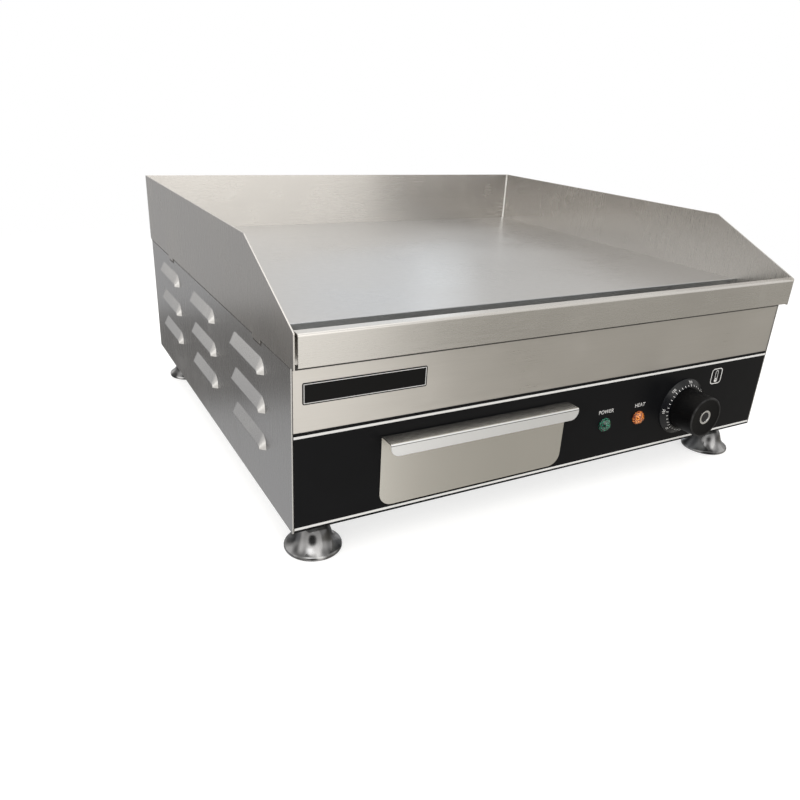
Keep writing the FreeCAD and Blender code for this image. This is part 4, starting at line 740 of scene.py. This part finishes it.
def floor():
    """Round pale floor that fades into the white surroundings; reflections see the room instead."""
    bm = bmesh.new()
    bmesh.ops.create_circle(bm, cap_ends=True, segments=96, radius=FLOOR_RADIUS)
    mesh = bpy.data.meshes.new("floor")
    bm.to_mesh(mesh)
    bm.free()
    paint = Paint("floor_pale", FLOOR_SHADE, 0.0, 0.8)
    paint.shader.inputs["Emission Color"].default_value = (1, 1, 1, 1)
    paint.shader.inputs["Emission Strength"].default_value = FLOOR_GLOW
    x, y, _ = paint.axes()
    distance = paint.maths("SQRT", paint.squared_distance((x, y)))
    fade = paint.ranged(distance, *FLOOR_FADE, 0.0, 1.0)
    direct = paint.node("ShaderNodeLightPath").outputs["Is Camera Ray"]
    hidden = paint.maths("MAXIMUM", fade, paint.maths("SUBTRACT", 1.0, direct))
    clear = paint.node("ShaderNodeBsdfTransparent")
    blend = paint.node("ShaderNodeMixShader")
    paint.link(hidden, blend.inputs["Fac"])
    paint.link(paint.shader.outputs["BSDF"], blend.inputs[1])
    paint.link(clear.outputs["BSDF"], blend.inputs[2])
    paint.link(blend.outputs["Shader"], paint.tree.nodes["Material Output"].inputs["Surface"])
    mesh.materials.append(paint.material)
    ground = bpy.data.objects.new("floor", mesh)
    ground.location.z = -FLOOR_DROP
    bpy.context.scene.collection.objects.link(ground)


# the room that the steel mirrors: direction of each change, and the light (linear RGB) on each side of it
BRIGHT_EDGE = (0.883, 0.469, 0.0)    # across the line 28 degrees right of straight ahead of the griddle
DARK_PATCH = (-0.42, -0.90, -0.08)   # towards the unlit front left
PLATE_STREAK = (0.48, 0.85, 0.22)    # the pale streak that the plate mirrors, and the shade beside it
PLATE_SHADE = (0.63, 0.76, 0.17)
STREAK_LIGHT, SHADE_LIGHT = (1.02, 1.08, 1.15), (0.78, 0.77, 0.75)
BAND_DARK = (0.18, 0.175, 0.17)      # dark band low behind the griddle
FRONT_LOW, FRONT_HIGH = (0.99, 0.96, 0.91), (1.95, 1.91, 1.84)
SIDE_LOW, SIDE_HIGH = (0.44, 0.42, 0.38), (0.97, 0.95, 0.92)
BEHIND_LOW = (0.46, 0.46, 0.465)


def surroundings():
    """White to the camera; to reflections a room, bright ahead, dim to the right, paler high up."""
    world = bpy.data.worlds.new("studio")
    bpy.context.scene.world = world
    world.use_nodes = True
    tree = world.node_tree
    background = tree.nodes["Background"]
    direction = tree.nodes.new("ShaderNodeTexCoord").outputs["Generated"]

    def along(axis):
        made = tree.nodes.new("ShaderNodeVectorMath")
        made.operation = "DOT_PRODUCT"
        tree.links.new(direction, made.inputs[0])
        made.inputs[1].default_value = axis
        return made.outputs["Value"]

    def ramp(source, low, high, to_low=0.0, to_high=1.0):
        made = tree.nodes.new("ShaderNodeMapRange")
        made.interpolation_type = "SMOOTHSTEP"
        for key, number in (("From Min", low), ("From Max", high), ("To Min", to_low), ("To Max", to_high)):
            made.inputs[key].default_value = number
        tree.links.new(source, made.inputs["Value"])
        return made.outputs["Result"]

    def combined(operation, a, b):
        made = tree.nodes.new("ShaderNodeMath")
        made.operation = operation
        tree.links.new(a, made.inputs[0])
        tree.links.new(b, made.inputs[1])
        return made.outputs["Value"]

    def between(share, first, second, blend="MIX"):
        made = tree.nodes.new("ShaderNodeMix")
        made.data_type = "RGBA"
        made.blend_type = blend
        for socket, value in zip((made.inputs[0], made.inputs[6], made.inputs[7]), (share, first, second)):
            if isinstance(value, tuple):
                socket.default_value = (*value, 1)
            elif isinstance(value, float):
                socket.default_value = value
            else:
                tree.links.new(value, socket)
        return made.outputs[2]

    height = along((0, 0, 1))
    behind = ramp(along((0, 1, 0)), -0.05, 0.25)
    ahead = between(ramp(height, -0.40, 0.15), FRONT_LOW, FRONT_HIGH)
    aside = between(ramp(height, -0.05, 0.18), between(behind, SIDE_LOW, BEHIND_LOW), SIDE_HIGH)
    room = between(combined("MAXIMUM", ramp(along(BRIGHT_EDGE), -0.04, 0.04), behind), ahead, aside)
    room = between(1.0, room, ramp(along(DARK_PATCH), 0.86, 0.955, 1.0, 0.04), "MULTIPLY")
    band = combined("MULTIPLY", ramp(height, -0.41, -0.38), ramp(height, -0.29, -0.26, 1.0, 0.0))
    band = combined("MULTIPLY", band, behind)
    room = between(band, room, BAND_DARK)
    room = between(ramp(along(PLATE_STREAK), 0.978, 0.995), room, STREAK_LIGHT)
    room = between(ramp(along(PLATE_SHADE), 0.978, 0.997), room, SHADE_LIGHT)
    direct = tree.nodes.new("ShaderNodeLightPath").outputs["Is Camera Ray"]
    tree.links.new(between(direct, room, (1, 1, 1)), background.inputs["Color"])


def soft_light(name, place, target, width, height, power, tint=(1, 1, 1)):
    """Rectangular softbox aimed at a point, hidden from the camera."""
    data = bpy.data.lights.new(name, "AREA")
    data.shape = "RECTANGLE"
    data.size, data.size_y = width, height
    data.energy = power
    data.color = tint
    lamp = bpy.data.objects.new(name, data)
    lamp.location = place
    lamp.rotation_euler = (Vector(target) - Vector(place)).to_track_quat("-Z", "Y").to_euler()
    lamp.visible_camera = False
    bpy.context.scene.collection.objects.link(lamp)


def camera():
    """Camera from the front left, looking down, with a slight roll."""
    data = bpy.data.cameras.new("camera")
    data.lens = CAMERA_LENS
    data.shift_x, data.shift_y = CAMERA_SHIFT
    data.clip_start = 0.02
    eye = bpy.data.objects.new("camera", data)
    heading, down, roll = (math.radians(angle) for angle in CAMERA_TURN)
    look = Vector((math.sin(heading) * math.cos(down), math.cos(heading) * math.cos(down), -math.sin(down)))
    level = look.cross(Vector((0, 0, 1))).normalized()
    upright = level.cross(look)
    right = level * math.cos(roll) + upright * math.sin(roll)
    up = upright * math.cos(roll) - level * math.sin(roll)
    axes = Matrix((right, up, -look)).transposed().to_4x4()
    eye.matrix_world = Matrix.Translation(CAMERA_PLACE) @ axes
    bpy.context.scene.collection.objects.link(eye)
    bpy.context.scene.camera = eye


paint_nodes()
strip_lines()
lamp_labels()
thermometer_symbol()
dial_ticks()
dial_numbers()
knob_pointer()
faceted_lens("power_lamp_lens", "lens_green")
faceted_lens("heat_lamp_lens", "lens_orange")
weld_bead("weld_left", -1)
weld_bead("weld_right", 1)
# dark strips of painted shadow along the joints under the splash guard and under the gutter's lip
seam_line("seam_left", -1)
seam_line("seam_right", 1)
flat_seam("seam_rear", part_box("rear_panel")[1].y + PRINT_LIFT, SEAM_Z - SEAM_WIDTH)
flat_seam("seam_front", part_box("front_panel")[0].y - PRINT_LIFT, SEAM_Z - LIP_SHADOW)
for end in ("front_left", "front_right", "rear_left", "rear_right"):
    bell_foot(end)
floor()
surroundings()
soft_light("key", (-1.3, -1.5, 1.9), target=(0, 0, 0.15), width=1.4, height=1.4, power=6)
soft_light("top", (0.0, 0.2, 2.2), target=(0, 0, 0.2), width=2.0, height=1.6, power=9)
soft_light("streak", (1.3, 2.0, 1.0), target=(0.0, 0.05, 0.19), width=0.25, height=1.2, power=0.45,
           tint=(0.85, 0.93, 1.0))
camera()
bpy.context.scene.view_settings.view_transform = "Standard"
